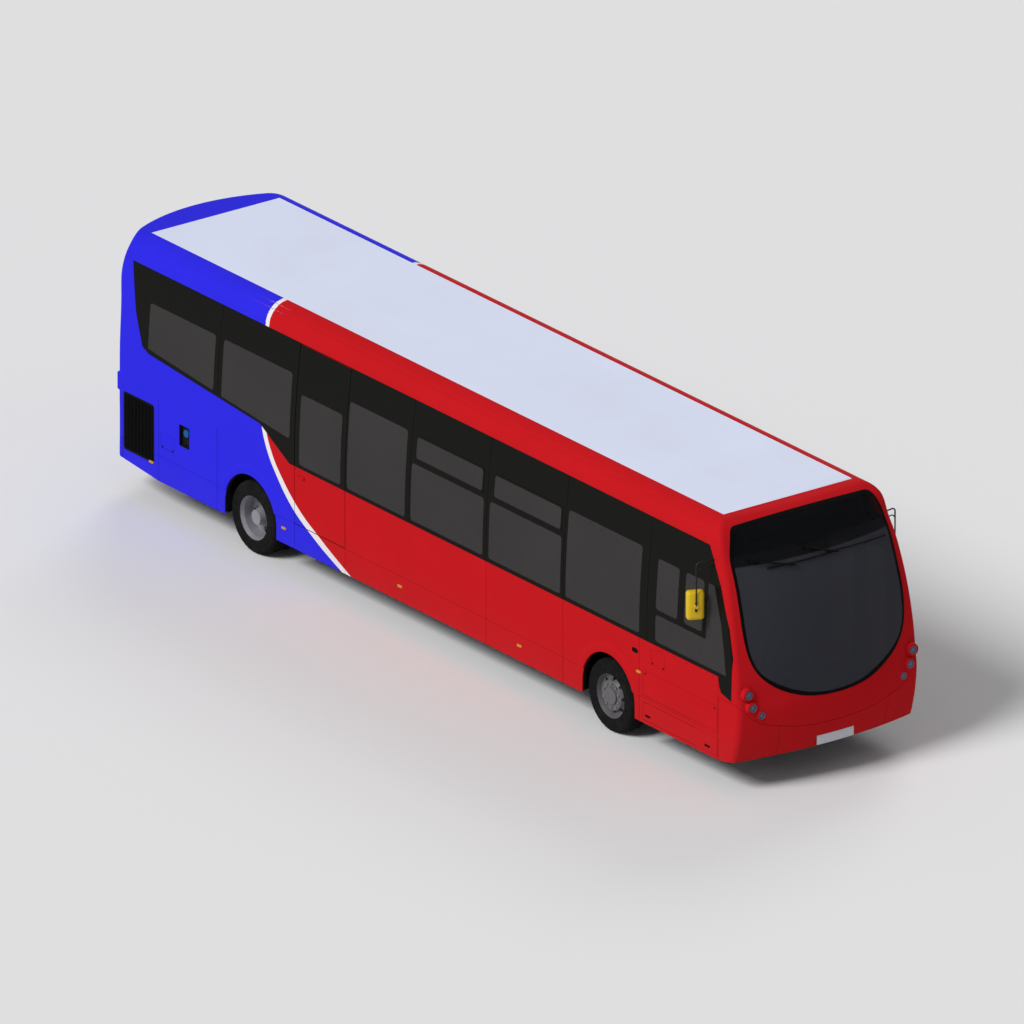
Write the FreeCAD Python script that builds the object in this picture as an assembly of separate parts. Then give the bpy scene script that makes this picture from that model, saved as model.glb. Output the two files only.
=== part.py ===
"""City bus, single deck, low floor, door ahead of the front axle, driver on the right.

Millimetres. +X is forward, +Y is the left (kerb) side with the passenger door, +Z is up.
The origin is on the ground under the middle of the bus. Every piece is modelled where it sits.
"""
import FreeCAD, Part

import math
import os

V = FreeCAD.Vector

# Driving sizes of the body
LENGTH = 11700.0
WIDTH = 2440.0
HEIGHT = 2970.0
WHEELBASE = 6475.0
FRONT_AXLE_X = 3325.0
REAR_AXLE_X = FRONT_AXLE_X - WHEELBASE
NOSE_X = LENGTH / 2
TAIL_X = -LENGTH / 2

# Heights that run the length of the sides
SKIRT_Z = 325.0
SEAM_Z = 620.0
WAIST_Z = 1290.0
BAND_TOP_Z = 2711.0
SIDE_BEND_R = 10600.0
CANT_R = 250.0
FLOOR_Z = 400.0
MID_STEP_Z = 620.0
REAR_FLOOR_Z = 880.0
STEP_1_X, STEP_2_X = -2350.0, -4300.0

# Wall build-up, measured inwards from the outer skin; glass and panels lie on a thin bed
SKIN_T = 8.0
SHEET_T = 7.2
WALL_T = 50.0
MOULD_T = 45.0
ROOF_T = 40.0
GAP = 5.0

# Tyres are 245/70 R19.5, twins at the rear
TYRE_R = 419.0
TYRE_W = 245.0
TYRE_OUT_Y = 1190.0
TYRE_FACETS = 60
TWIN_PITCH = 275.0
TWIN_OUT_YS = (TYRE_OUT_Y, TYRE_OUT_Y - TWIN_PITCH)
BEAD_R = 262.0
AXLE_Z = TYRE_R
ARCH_Z = 460.0
ARCH_R = 470.0
ARCH_LIP_R = 580.0
ARCH_LIP_T = 13.0

# Side divisions, from the rear to the front
TAIL_EDGE_X = -5495.0
PANEL_JOINTS = (TAIL_EDGE_X, -4835.0, -3765.0, -2351.0, -1426.0, 1130.0, 2517.0, 3890.0)
PANE_JOINTS = (-3765.0, -2351.0, -1426.0, -265.0, 1125.0, 2515.0, 4020.0)
PANEL_END_X = 5300.0
ROOF_X0, ROOF_X1 = -5430.0, 4905.0
MOULD_X = 4930.0

# The emergency door on the driver's side
EXIT_X0, EXIT_X1 = -2351.0, -1426.0
EXIT_TOP_Z = 2700.0
EXIT_GAP = 6.0
EXIT_HINGE = (-1432.0, -1222.0)
EXIT_HINGE_ZS = (740.0, 1230.0)

# Passenger doorway on the left
DOOR_X0, DOOR_X1 = 4020.0, 5220.0
DOOR_Z0, DOOR_Z1 = 405.0, 2360.0
DOOR_POST_Y = 1038.0
DOOR_POST_INSET = 211.0
DOOR_POST_R = 19.0
DOOR_ARM = 120.0
DOOR_EDGE_GAP = 30.0
DOOR_LEAN = 1.6

LEFT, RIGHT = 1, -1
HINGE_R = 6.0

# Side section: a vertical wall, a slow inward bend above the waist, then the cant rail
BEND_CY = WIDTH / 2 - SIDE_BEND_R
CANT_CZ = HEIGHT - CANT_R
CANT_ANGLE = math.asin((CANT_CZ - WAIST_Z) / (SIDE_BEND_R - CANT_R))
CANT_CY = BEND_CY + (SIDE_BEND_R - CANT_R) * math.cos(CANT_ANGLE)


def box(x0, x1, y0, y1, z0, z1):
    """A box between two corners, given in any order."""
    low = V(min(x0, x1), min(y0, y1), min(z0, z1))
    return Part.makeBox(abs(x1 - x0), abs(y1 - y0), abs(z1 - z0), low)


def cylinder(start, end, radius):
    """A round bar between two points."""
    axis = V(*end) - V(*start)
    return Part.makeCylinder(radius, axis.Length, V(*start), axis)


def fuse(shapes):
    """One solid from shapes that meet."""
    shapes = list(shapes)
    return shapes[0].multiFuse(shapes[1:]).removeSplitter() if len(shapes) > 1 else shapes[0]


def cut(shape, tools):
    """The shape without the tools."""
    tools = list(tools)
    return shape.cut(tools) if tools else shape


def group(shapes):
    """Several solids that don't touch, kept as one piece."""
    solids = [s for shape in shapes for s in shape.Solids]
    return Part.makeCompound(solids)


def mirrored(shape):
    """The same shape on the other side of the bus."""
    return shape.mirror(V(0, 0, 0), V(0, 1, 0))


def round_edges(shape, radius, along):
    """Rounds the straight edges that run along a direction."""
    axis = V(*along)
    edges = []
    for edge in shape.Edges:
        ends = edge.Vertexes
        if len(ends) == 2:
            run = ends[1].Point - ends[0].Point
            if run.Length > 0.1 and abs(run.normalize().dot(axis)) > 0.999:
                edges.append(edge)
    return shape.makeFillet(radius, edges)


def plate_xz(points, y0, y1, radius=0):
    """An outline in the side view, through the whole width from y0 to y1."""
    wire = Part.makePolygon([V(x, y0, z) for x, z in points] + [V(points[0][0], y0, points[0][1])])
    solid = Part.Face(wire).extrude(V(0, y1 - y0, 0))
    return round_edges(solid, radius, (0, 1, 0)) if radius else solid


def plate_yz(points, x0, x1, radius=0):
    """An outline in the front view, from x0 to x1."""
    wire = Part.makePolygon([V(x0, y, z) for y, z in points] + [V(x0, *points[0])])
    solid = Part.Face(wire).extrude(V(x1 - x0, 0, 0))
    return round_edges(solid, radius, (1, 0, 0)) if radius else solid


def rect_xz(x0, x1, z0, z1, y0, y1, radius):
    """A plate with round corners in the side view."""
    return plate_xz([(x0, z0), (x1, z0), (x1, z1), (x0, z1)], y0, y1, radius)


def turned(profile, centre, axis):
    """Spins a closed outline of (along the axis, radius) points about an axis through centre."""
    axis = V(*axis)
    side = V(1, 0, 0) if abs(axis.x) < 0.5 else V(0, 1, 0)
    points = [V(*centre) + axis * a + side * r for a, r in profile]
    face = Part.Face(Part.makePolygon(points + [points[0]]))
    return face.revolve(V(*centre), axis, 360)


def side_y(z, t=0.0):
    """Half width of the body at a height, t inside the outer skin."""
    if z <= WAIST_Z:
        return WIDTH / 2 - t
    if z <= WAIST_Z + (SIDE_BEND_R - t) * math.sin(CANT_ANGLE):
        return BEND_CY + math.sqrt((SIDE_BEND_R - t) ** 2 - (z - WAIST_Z) ** 2)
    return CANT_CY + math.sqrt(max((CANT_R - t) ** 2 - (z - CANT_CZ) ** 2, 0.0))


def side_curve(z0, z1, t, x):
    """The side's own line between two heights, as edges from the bottom to the top."""
    edges = []
    if z0 < WAIST_Z:
        knee = min(z1, WAIST_Z)
        edges.append(Part.makeLine(V(x, side_y(z0, t), z0), V(x, side_y(knee, t), knee)))
    if z1 > WAIST_Z:
        low = max(z0, WAIST_Z)
        middle = (low + z1) / 2
        ends = [V(x, side_y(z, t), z) for z in (low, middle, z1)]
        edges.append(Part.Arc(*ends).toShape())
    return edges


def side_layer(side, x0, x1, z0, z1, t0, t1):
    """A sheet of the side wall from depth t0 to t1, between two heights."""
    outer = side_curve(z0, z1, t0, x0)
    inner = side_curve(z0, z1, t1, x0)
    top = Part.makeLine(V(x0, side_y(z1, t0), z1), V(x0, side_y(z1, t1), z1))
    bottom = Part.makeLine(V(x0, side_y(z0, t0), z0), V(x0, side_y(z0, t1), z0))
    wire = Part.Wire(Part.__sortEdges__(outer + [top] + inner + [bottom]))
    solid = Part.Face(wire).extrude(V(x1 - x0, 0, 0))
    return solid if side == LEFT else mirrored(solid)


def cove_layer(side, x0, x1, z0, t0, t1):
    """The cant rail's curved cover, from a height on the side to the flat of the roof."""
    edges = []
    for t in (t0, t1):
        start = CANT_ANGLE
        knee_z = WAIST_Z + (SIDE_BEND_R - t) * math.sin(start)
        edges += side_curve(z0, knee_z, t, x0)
        arc = [start, (start + math.pi / 2) / 2, math.pi / 2]
        r = CANT_R - t
        edges.append(
            Part.Arc(*[V(x0, CANT_CY + r * math.cos(a), CANT_CZ + r * math.sin(a)) for a in arc]).toShape()
        )
    edges.append(Part.makeLine(V(x0, side_y(z0, t0), z0), V(x0, side_y(z0, t1), z0)))
    edges.append(Part.makeLine(V(x0, CANT_CY, HEIGHT - t0), V(x0, CANT_CY, HEIGHT - t1)))
    wire = Part.Wire(Part.__sortEdges__(edges))
    solid = Part.Face(wire).extrude(V(x1 - x0, 0, 0))
    return solid if side == LEFT else mirrored(solid)


# The nose and the tail are lofted through level outlines
NOSE_TOP_X = 4990.0
NOSE_REACH = 834.0
NOSE_SHOULDER_Z = 1100.0
NOSE_POWER = 1.4
NOSE_BOW_R, NOSE_ROOF_BOW_R = 4030.0, 8330.0
NOSE_CORNER_R, NOSE_ROOF_CORNER_R = 80.0, 40.0
CHIN = NOSE_X - NOSE_TOP_X - NOSE_REACH
CHIN_Z, CHIN_TUCK = 1000.0, 120.0
TAIL_REACH = TAIL_X + 40.0
SPOILER = 40.0
TAIL_TOP_X = -5815.0
TAIL_DOME_Z = 2700.0
TAIL_BOW_R, TAIL_ROOF_BOW_R = 3360.0, 2000.0
TAIL_CORNER_R = 75.0
LEDGE = 40.0
LEDGE_Z0, LEDGE_Z1 = 1166.0, 1360.0
LEDGE_BEVEL = 8.0
MIN_CORNER_R = 12.0
SEAL_PROUD = 3.0
NOSE_LEVELS = [324, 400, 500, 640, 760, 860, 950, 1040, 1130, 1210, 1290]
NOSE_LEVELS += [1400, 1550, 1750, 2000, 2250, 2450, 2620]
TAIL_LEVELS = [324, 640, 1000, 1290, 1600, 1850, 2100, 2230, 2360, 2500, 2650]


def smooth(value, low, high):
    """0 below low, 1 above high, and an even S between."""
    s = min(max((value - low) / (high - low), 0.0), 1.0)
    return s * s * (3 - 2 * s)


def nose_x(z, t):
    """How far forward the middle of the front is at a height."""
    if z > NOSE_SHOULDER_Z:
        share = (z - NOSE_SHOULDER_Z) / (HEIGHT - t - NOSE_SHOULDER_Z)
        return NOSE_TOP_X + (NOSE_REACH - t) * math.sqrt(max(1 - share**NOSE_POWER, 0))
    chin = CHIN * (1 - smooth(z, CHIN_Z, NOSE_SHOULDER_Z))
    tuck = CHIN_TUCK * (max(CHIN_Z - z, 0) / (CHIN_Z - SKIRT_Z)) ** 2
    return NOSE_TOP_X + NOSE_REACH - t + chin - tuck


def nose_bow(z):
    """The radius of the front's bow at a height: nearly flat at the roof."""
    return NOSE_BOW_R + (NOSE_ROOF_BOW_R - NOSE_BOW_R) * smooth(z, 2620, HEIGHT)


def tail_x(z, t):
    """How far back the middle of the rear is at a height, as a positive number."""
    reach = -TAIL_REACH - t + SPOILER * smooth(z, 2100, 2650)
    if z > TAIL_DOME_Z:
        share = (z - TAIL_DOME_Z) / (HEIGHT - t - TAIL_DOME_Z)
        top = -TAIL_TOP_X - t
        return top + (reach - top) * math.sqrt(max(1 - share**2, 0))
    return reach


def tail_bow(z):
    """The radius of the rear's bow at a height: roundest at the roof."""
    return TAIL_BOW_R + (TAIL_ROOF_BOW_R - TAIL_BOW_R) * smooth(z, 2400, HEIGHT)


def level_outline(z, half, front, bow_r, corner_r, back):
    """A level outline: a straight back, straight sides, round corners and a bowed end."""
    cx = front - bow_r + math.sqrt((bow_r - corner_r) ** 2 - (half - corner_r) ** 2)
    cy = half - corner_r
    turn = math.atan2(cy, cx - (front - bow_r))
    half_way = (math.pi / 2 + turn) / 2
    p_side = V(cx, half, z)
    p_mid = V(cx + corner_r * math.cos(half_way), cy + corner_r * math.sin(half_way), z)
    p_end = V(cx + corner_r * math.cos(turn), cy + corner_r * math.sin(turn), z)

    def other(p):
        return V(p.x, -p.y, p.z)

    return Part.Wire(
        [
            Part.makeLine(V(back, half, z), p_side),
            Part.Arc(p_side, p_mid, p_end).toShape(),
            Part.Arc(p_end, V(front, 0, z), other(p_end)).toShape(),
            Part.Arc(other(p_end), other(p_mid), other(p_side)).toShape(),
            Part.makeLine(other(p_side), V(back, -half, z)),
            Part.makeLine(V(back, -half, z), V(back, half, z)),
        ]
    )


def top_levels(t):
    """Heights round the cant rail's bend, evenly turned, up to the roof."""
    turns = [CANT_ANGLE] + [math.radians(a) for a in (26, 44, 60, 74, 84)]
    return [CANT_CZ + (CANT_R - t) * math.sin(a) for a in turns] + [HEIGHT - t]


def nose_solid(t, back=4000.0):
    """The whole front end as one block, t inside the outer skin."""
    wires = []
    for z in NOSE_LEVELS + top_levels(t):
        corner = NOSE_CORNER_R + (NOSE_ROOF_CORNER_R - NOSE_CORNER_R) * smooth(z, 2620, HEIGHT)
        corner = max(corner - t, MIN_CORNER_R)
        wires.append(level_outline(z, side_y(z, t), nose_x(z, t), nose_bow(z) - t, corner, back))
    return Part.makeLoft(wires, True, False)


def tail_outline(z, t, back, proud=0.0):
    """One level outline of the rear end."""
    return level_outline(z, side_y(z, t), tail_x(z, t) + proud, tail_bow(z) - t, TAIL_CORNER_R - t, back)


def tail_solid(t, back=4700.0):
    """The whole rear end as one block, t inside the outer skin."""
    wires = [tail_outline(z, t, back) for z in TAIL_LEVELS + top_levels(t)]
    return Part.makeLoft(wires, True, False).mirror(V(0, 0, 0), V(1, 0, 0))


def ledge_solid(back=4710.0):
    """The raised band round the rear under the window."""
    steps = [(LEDGE_Z0, 0), (LEDGE_Z0 + LEDGE_BEVEL, LEDGE), (LEDGE_Z1 - LEDGE_BEVEL, LEDGE), (LEDGE_Z1, 0)]
    wires = [tail_outline(z, 0, back, proud) for z, proud in steps]
    return Part.makeLoft(wires, True, True).mirror(V(0, 0, 0), V(1, 0, 0))


def keep(shape, x0=-7000, x1=7000, y0=-2000, y1=2000, z0=0, z1=4000):
    """The stretch of a shape inside a box."""
    return shape.common(box(x0, x1, y0, y1, z0, z1))


# The front and rear mouldings, by depth inside the skin
NOSE = nose_solid(0)
NOSE_OVER_SEAL = nose_solid(-SEAL_PROUD, 4010)
NOSE_GLASS_BACK = nose_solid(SHEET_T, 3995)
NOSE_UNDER_GLASS = nose_solid(SKIN_T, 3990)
NOSE_INSIDE = nose_solid(MOULD_T, 3980)
TAIL = tail_solid(0).fuse(ledge_solid())
TAIL_GLASS_BACK = tail_solid(SHEET_T, 4690)
TAIL_INSIDE = tail_solid(MOULD_T, 4680)

# Windows, as seen from the side: rear x, front x, sill z at each end, top z
HOPPER_FRAME_W = 18.0
REAR_PANES = ((-5045, -3845, 1810, 1700, 2340), (-3695, -2445, 1680, 1580, 2340))
EXIT_PANE = (-2265, -1515, 1335, 1335, 2150)
SALOON_PANES = (
    (-1395, -345, 1335, 1335, 2340),
    (-240, 1065, 1340, 1340, 2000),
    (1175, 2465, 1340, 1340, 2000),
    (2565, 3885, 1340, 1340, 2340),
)
HOPPER_PANES = ((-175, 1025, 2070, 2070, 2320), (1235, 2435, 2070, 2070, 2320))
CAB_PANES = ((4175, 4555, 1710, 1710, 2290), (4675, 5000, 1710, 1710, 2290), (4175, 5000, 1340, 1340, 1650))
QUARTER_PANE = ((5070, 1340), (5440, 1340), (5400, 1600), (5330, 1900), (5190, 2250), (5070, 2290))
BAND_FRONT = (
    (5300, 1290),
    (5315, 1190),
    (5350, 1115),
    (5536, 1070),
    (5554, 1570),
    (5480, 1880),
    (5291, 2310),
    (5030, 2711),
)


def pane_cutter(pane, side):
    """The rounded opening of one window."""
    x0, x1, sill0, sill1, top = pane
    return plate_xz([(x0, sill0), (x1, sill1), (x1, top), (x0, top)], side * 950, side * 1300, 40)


def band_rear(gap, side):
    """The rear of the glass band: its lower edge climbs and its end leans forward."""
    g = gap
    points = [
        (-2351 - g, 1290 + g),
        (-2445, 1290 + g),
        (-2985, 1586 + g),
        (-5035, 1750 + g),
        (-5145 + g, 1800 + g),
        (-5295 + g, 2160),
        (-5425 + g, 2720),
        (-2351 - g, 2720),
    ]
    return plate_xz(points, side * 950, side * 1300)


def band_front(gap, side, x0):
    """The front of the glass band, from x0 to its raked end by the windscreen pillar."""
    g = gap
    low = [(x0, BAND_FRONT[0][1] + g)] + [(x + g, z + g) for x, z in BAND_FRONT[:3]]
    tip = [(BAND_FRONT[3][0] - g, BAND_FRONT[3][1] + g)]
    rake = [(x - g, z) for x, z in BAND_FRONT[4:]]
    return plate_xz(low + tip + rake + [(x0, BAND_FRONT[-1][1])], side * 950, side * 1300)


def arch_hole(x):
    """The wheel arch's opening through both sides, straight below the axle."""
    ring = cylinder((x, -1400, ARCH_Z), (x, 1400, ARCH_Z), ARCH_R)
    return fuse([ring, box(x - ARCH_R, x + ARCH_R, -1400, 1400, 200, ARCH_Z)])


ARCHES = (FRONT_AXLE_X + 15, REAR_AXLE_X)
ARCH_HOLES = [arch_hole(x) for x in ARCHES]
EXIT_HOLE = box(EXIT_X0, EXIT_X1, -1300, -1000, SEAM_Z, EXIT_TOP_Z)
DOORWAY = box(DOOR_X0, DOOR_X1, 900, 1400, DOOR_Z0, DOOR_Z1)
GRILLE_X0, GRILLE_X1 = -5480.0, -4915.0
GRILLE_Z0, GRILLE_Z1 = 500.0, 1185.0
GRILLE_PITCH = 26
GRILLE_HOLE = rect_xz(GRILLE_X0, GRILLE_X1, GRILLE_Z0, GRILLE_Z1, -1300, -1100, 40)

# The filler's pocket in the driver's side
POCKET_X0, POCKET_X1 = -4458.0, -4273.0
POCKET_Z0, POCKET_Z1 = 865.0, 1115.0
POCKET_DEPTH = 44.0
POCKET_HOLE = rect_xz(
    POCKET_X0, POCKET_X1, POCKET_Z0, POCKET_Z1, -WIDTH / 2 + POCKET_DEPTH, -1300, 12
)
FILLER_X, FILLER_Z, FILLER_R = -4350.0, 1030.0, 44.0

# Hinged flaps in the driver's side: rear x, front x, bottom z, top z
FLAPS = (
    (-4793, -4550, 740, 917),
    (4102, 4349, 1050, 1230),
    (3952, 5288, 645, 945),
    (3952, 5288, 360, 571),
)
FLAP_SEAM_W, FLAP_SEAM_DEPTH = 4.0, 4.0
FLAP_PULLS = ((4044, 421), (5108, 425))
LAMP_OVAL = (3813, 1119)


def underside_wedges():
    """What the skirt loses where it sweeps up under the nose and the tail."""
    front = plate_xz([(5300, 200), (6000, 200), (6000, 437), (5300, 325)], -1400, 1400)
    rear = plate_xz([(-4835, 200), (-4835, 325), (-6000, 437), (-6000, 200)], -1400, 1400)
    return [front, rear]


WEDGES = underside_wedges()


def side_frame(side):
    """Posts and rails of one side, the inner lining included, with the windows cut."""
    wall = side_layer(side, TAIL_EDGE_X, MOULD_X, 345, BAND_TOP_Z - 1, SKIN_T, WALL_T)
    tools = list(ARCH_HOLES) + WEDGES
    panes = list(REAR_PANES + SALOON_PANES + HOPPER_PANES)
    if side == RIGHT:
        tools += [EXIT_HOLE, GRILLE_HOLE, POCKET_HOLE]
        panes += CAB_PANES[:2] + ((4175, 4920, 1340, 1340, 1650),)
        tools.append(box(MOULD_X - 60, MOULD_X + 10, -1300, -1000, 1340, 2290))
    else:
        tools += [DOORWAY, box(DOOR_X0 - GAP, DOOR_X0, 1000, 1400, 200, 2800)]
        panes.append((EXIT_PANE[0], EXIT_PANE[1], 1335, 1335, 2340))
    tools += [pane_cutter(pane, side) for pane in panes]
    return cut(wall, tools)


def hopper_frame(pane, side):
    """The slim frame round a hopper vent, proud of its glass."""
    x0, x1, z0, _, z1 = pane
    w = HOPPER_FRAME_W
    frame = side_layer(side, x0 - w, x1 + w, z0 - w, z1 + w, -4, 1)
    return frame.cut(pane_cutter(pane, side))


def side_glazing(side):
    """The bonded glass of one side, pane by pane, from the rear end to the door or the nose."""
    sheet = side_layer(side, TAIL_EDGE_X, DOOR_X0, WAIST_Z, BAND_TOP_Z - 1, 0, SHEET_T)
    panes = []
    rear = sheet.common(band_rear(GAP, side))
    panes += [keep(rear, x1=PANE_JOINTS[0] - GAP / 2), keep(rear, x0=PANE_JOINTS[0] + GAP / 2)]
    for x0, x1 in zip(PANE_JOINTS[1:-1], PANE_JOINTS[2:]):
        if side == RIGHT and x0 == EXIT_X0:
            continue
        pane = keep(sheet, x0=x0 + GAP / 2, x1=x1 - GAP / 2, z0=WAIST_Z + GAP)
        frames = [hopper_frame(vent, side) for vent in HOPPER_PANES if x0 < vent[0] < x1]
        panes.append(fuse([pane] + frames))
    shell = NOSE.cut(NOSE_GLASS_BACK)
    front = shell.common(band_front(GAP, side, DOOR_X0 + GAP / 2))
    if side == RIGHT:
        return panes + [front]
    over_door = keep(front, x1=DOOR_X1 - GAP / 2, z0=DOOR_Z1)
    return panes + [over_door, keep(front, x0=DOOR_X1 + GAP / 2)]


def arch_lip(side, x):
    """The soft moulded rim over a wheel arch, down to the skirt's seam."""
    back, face = WIDTH / 2 - SHEET_T, WIDTH / 2 + ARCH_LIP_T
    outline = [
        (side * back, ARCH_R),
        (side * face, ARCH_R),
        (side * face, ARCH_LIP_R - 45),
        (side * (face - 5), ARCH_LIP_R - 16),
        (side * (WIDTH / 2 - 1), ARCH_LIP_R),
        (side * back, ARCH_LIP_R),
    ]
    return keep(turned(outline, (x, 0, ARCH_Z), (0, 1, 0)), z0=SEAM_Z + GAP / 2)


def flap_seam(flap):
    """The groove round a flap in the driver's side."""
    x0, x1, z0, z1 = flap
    w = FLAP_SEAM_W
    y0, y1 = -WIDTH / 2 + FLAP_SEAM_DEPTH, -1300
    return rect_xz(x0, x1, z0, z1, y0, y1, 14).cut(rect_xz(x0 + w, x1 - w, z0 + w, z1 - w, y0, y1, 10))


def side_panels(side):
    """The skirt and waist panels of one side, with the arch rims."""
    tools = list(ARCH_HOLES) + WEDGES
    if side == RIGHT:
        pulls = [rect_xz(x - 45, x + 45, z - 13, z + 13, -WIDTH / 2 + 6, -1300, 12) for x, z in FLAP_PULLS]
        x, z = LAMP_OVAL
        pulls.append(rect_xz(x - 40, x + 40, z - 24, z + 24, -WIDTH / 2 + 6, -1300, 23))
        tools += [GRILLE_HOLE, POCKET_HOLE] + pulls + [flap_seam(flap) for flap in FLAPS]
    else:
        tools.append(DOORWAY)
    pieces = []
    joints = list(PANEL_JOINTS) + ([DOOR_X0, DOOR_X1] if side == LEFT else []) + [PANEL_END_X]
    doors = {RIGHT: EXIT_X0, LEFT: DOOR_X0}
    for x0, x1 in zip(joints[:-1], joints[1:]):
        for z0, z1 in ((SKIRT_Z, SEAM_Z), (SEAM_Z, WAIST_Z)):
            if x0 == doors[side] and z0 == SEAM_Z:
                continue
            top = z1 - (1 if z1 == WAIST_Z else GAP / 2)
            panel = side_layer(side, x0 + GAP / 2, x1 - GAP / 2, z0, top, 0, SHEET_T)
            lips = [arch_lip(side, x) for x in ARCHES if x0 < x < x1 and z0 == SEAM_Z]
            pieces.append(fuse([cut(panel, tools)] + lips))
    quarter = side_layer(side, TAIL_EDGE_X, EXIT_X0 - GAP / 2, WAIST_Z - 1, BAND_TOP_Z - 1, 0, SHEET_T)
    pieces.append(quarter.cut(band_rear(0, side)))
    return group(pieces)


def filler_cap():
    """The round cap on its neck in the pocket."""
    neck_y, face_y = -WIDTH / 2 + POCKET_DEPTH, -WIDTH / 2 + 12
    neck = cylinder((FILLER_X, neck_y, FILLER_Z), (FILLER_X, face_y - 14, FILLER_Z), FILLER_R - 14)
    cap = cylinder((FILLER_X, face_y + 18, FILLER_Z), (FILLER_X, face_y, FILLER_Z), FILLER_R)
    return fuse([neck.common(box(-5000, -4000, neck_y, face_y + 5, 900, 1200)), cap])


WINDSCREEN_TOP_Z = 2925.0
SCREEN_EDGE = (
    (0, 1003),
    (434, 1050),
    (769, 1193),
    (985, 1406),
    (1080, 1800),
    (1069, 2261),
    (1030, 2690),
    (970, 2845),
)
SEAL_W = 34.0


def screen_cutter(grow):
    """The windscreen's outline in the front view."""
    half = [(y + (grow if y else 0), z - (grow if y < 900 else 0)) for y, z in SCREEN_EDGE]
    points = [V(4600, y, z) for y, z in half]
    top = V(4600, 0, WINDSCREEN_TOP_Z + grow)
    right = [V(p.x, -p.y, p.z) for p in points]
    lower = Part.BSplineCurve()
    lower.interpolate([points[i] for i in range(7, -1, -1)] + right[1:])
    corner_l = V(4600, 870 + grow, 2905 + grow)
    corner_r = V(4600, -870 - grow, 2905 + grow)
    upper = [
        Part.Arc(right[7], V(4600, -930 - grow, 2888 + grow), corner_r).toShape(),
        Part.Arc(corner_r, top, corner_l).toShape(),
        Part.Arc(corner_l, V(4600, 930 + grow, 2888 + grow), points[7]).toShape(),
    ]
    wire = Part.Wire([lower.toShape()] + upper)
    return Part.Face(wire).extrude(V(1500, 0, 0))


BUMPER_SEAM = ((0, 680), (500, 705), (774, 765), (978, 830), (1108, 933), (1215, 1055))
BUMPER_GROOVE_Y, BUMPER_GROOVE_W = 733.0, 4.0


def bumper_cutter(gap):
    """Everything under the front bumper's upper seam, in the front view."""
    half = [V(4600, y, z - gap) for y, z in BUMPER_SEAM]
    other = [V(p.x, -p.y, p.z) for p in reversed(half[1:])]
    seam = Part.BSplineCurve()
    seam.interpolate(other + half)
    ends = [V(4600, 1400, 1055 - gap), V(4600, 1400, 200), V(4600, -1400, 200), V(4600, -1400, 1055 - gap)]
    path = [half[-1]] + ends + [other[0]]
    wire = Part.Wire([seam.toShape()] + [Part.makeLine(a, b) for a, b in zip(path[:-1], path[1:])])
    return Part.Face(wire).extrude(V(1500, 0, 0))


# Front lamps: face x, y, z, lens radius, and the radius of the raised ring round it
LAMPS = ((5712, 1110, 1171, 46, 74), (5728, 1064, 1020, 46, 72), (5744, 958, 914, 42, 58))
LAMP_DEPTH = 60.0
LAMP_LIP = 5.0


def lamp_places():
    """Front lamps on both sides."""
    return [(x, side * y, z, r, ring) for x, y, z, r, ring in LAMPS for side in (RIGHT, LEFT)]


def lamp_rings():
    """The raised rings that carry the lamps in the front moulding."""
    rings = []
    for x, y, z, r, ring in lamp_places():
        body = Part.makeCone(ring + 8, ring - 6, LAMP_DEPTH, V(x - LAMP_DEPTH, y, z), V(1, 0, 0))
        rings.append(body.cut(NOSE_INSIDE))
    return rings


def lamp_cutters(grow):
    """Round holes through the front at its lamps."""
    back = LAMP_DEPTH + 40
    return [cylinder((x - back, y, z), (x + 60, y, z), r + grow) for x, y, z, r, _ in lamp_places()]


def front_moulding():
    """The one-piece front: pillars, roof cap and the panel under the windscreen."""
    shell = keep(NOSE.cut(NOSE_INSIDE), x0=MOULD_X, z0=SKIRT_Z)
    tools = [screen_cutter(0).cut(NOSE_UNDER_GLASS), screen_cutter(-SEAL_W)]
    tools.append(box(MOULD_X, PANEL_END_X, -1400, 1400, 200, WAIST_Z).cut(NOSE_UNDER_GLASS))
    for side in (RIGHT, LEFT):
        tools.append(band_front(0, side, MOULD_X - 20).cut(NOSE_UNDER_GLASS))
    tools.append(bumper_cutter(0).common(box(PANEL_END_X - 12, 6500, -1400, 1400, 200, 1200)))
    quarter = plate_xz(QUARTER_PANE, -900, -1300)
    tools += [quarter, DOORWAY]
    tools += [pane_cutter((4700, 5000, z0, z0, z1), RIGHT) for z0, z1 in ((1710, 2290), (1340, 1650))]
    return cut(fuse([cut(shell, tools + WEDGES)] + lamp_rings()), lamp_cutters(2))


def front_bumper():
    """The bumper under the seam, with the upright grooves where its corners are joined on."""
    shell = keep(NOSE.cut(NOSE_INSIDE), x0=PANEL_END_X + GAP, z0=SKIRT_Z)
    shell = shell.common(bumper_cutter(GAP))
    grooves = []
    for side in (RIGHT, LEFT):
        y, half = side * BUMPER_GROOVE_Y, BUMPER_GROOVE_W / 2
        grooves.append(box(5400, 6000, y - half, y + half, 200, 900).cut(NOSE_GLASS_BACK))
    return cut(shell, grooves + WEDGES)


def windscreen():
    """The one-piece bonded windscreen, drilled for the wiper spindles."""
    glass = NOSE.common(screen_cutter(-SEAL_W)).cut(NOSE_GLASS_BACK)
    holes = []
    for (y, z), *_ in WIPERS:
        holes.append(cylinder((skin_x(y, z) - 60, y, z), (skin_x(y, z) + 60, y, z), SPINDLE_R + 1))
    return cut(glass, holes)


def windscreen_seal():
    """The black rubber round the windscreen, proud of both glass and paint."""
    ring = NOSE_OVER_SEAL.common(screen_cutter(-1)).cut(screen_cutter(-SEAL_W))
    return ring.cut(NOSE_GLASS_BACK)


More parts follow.
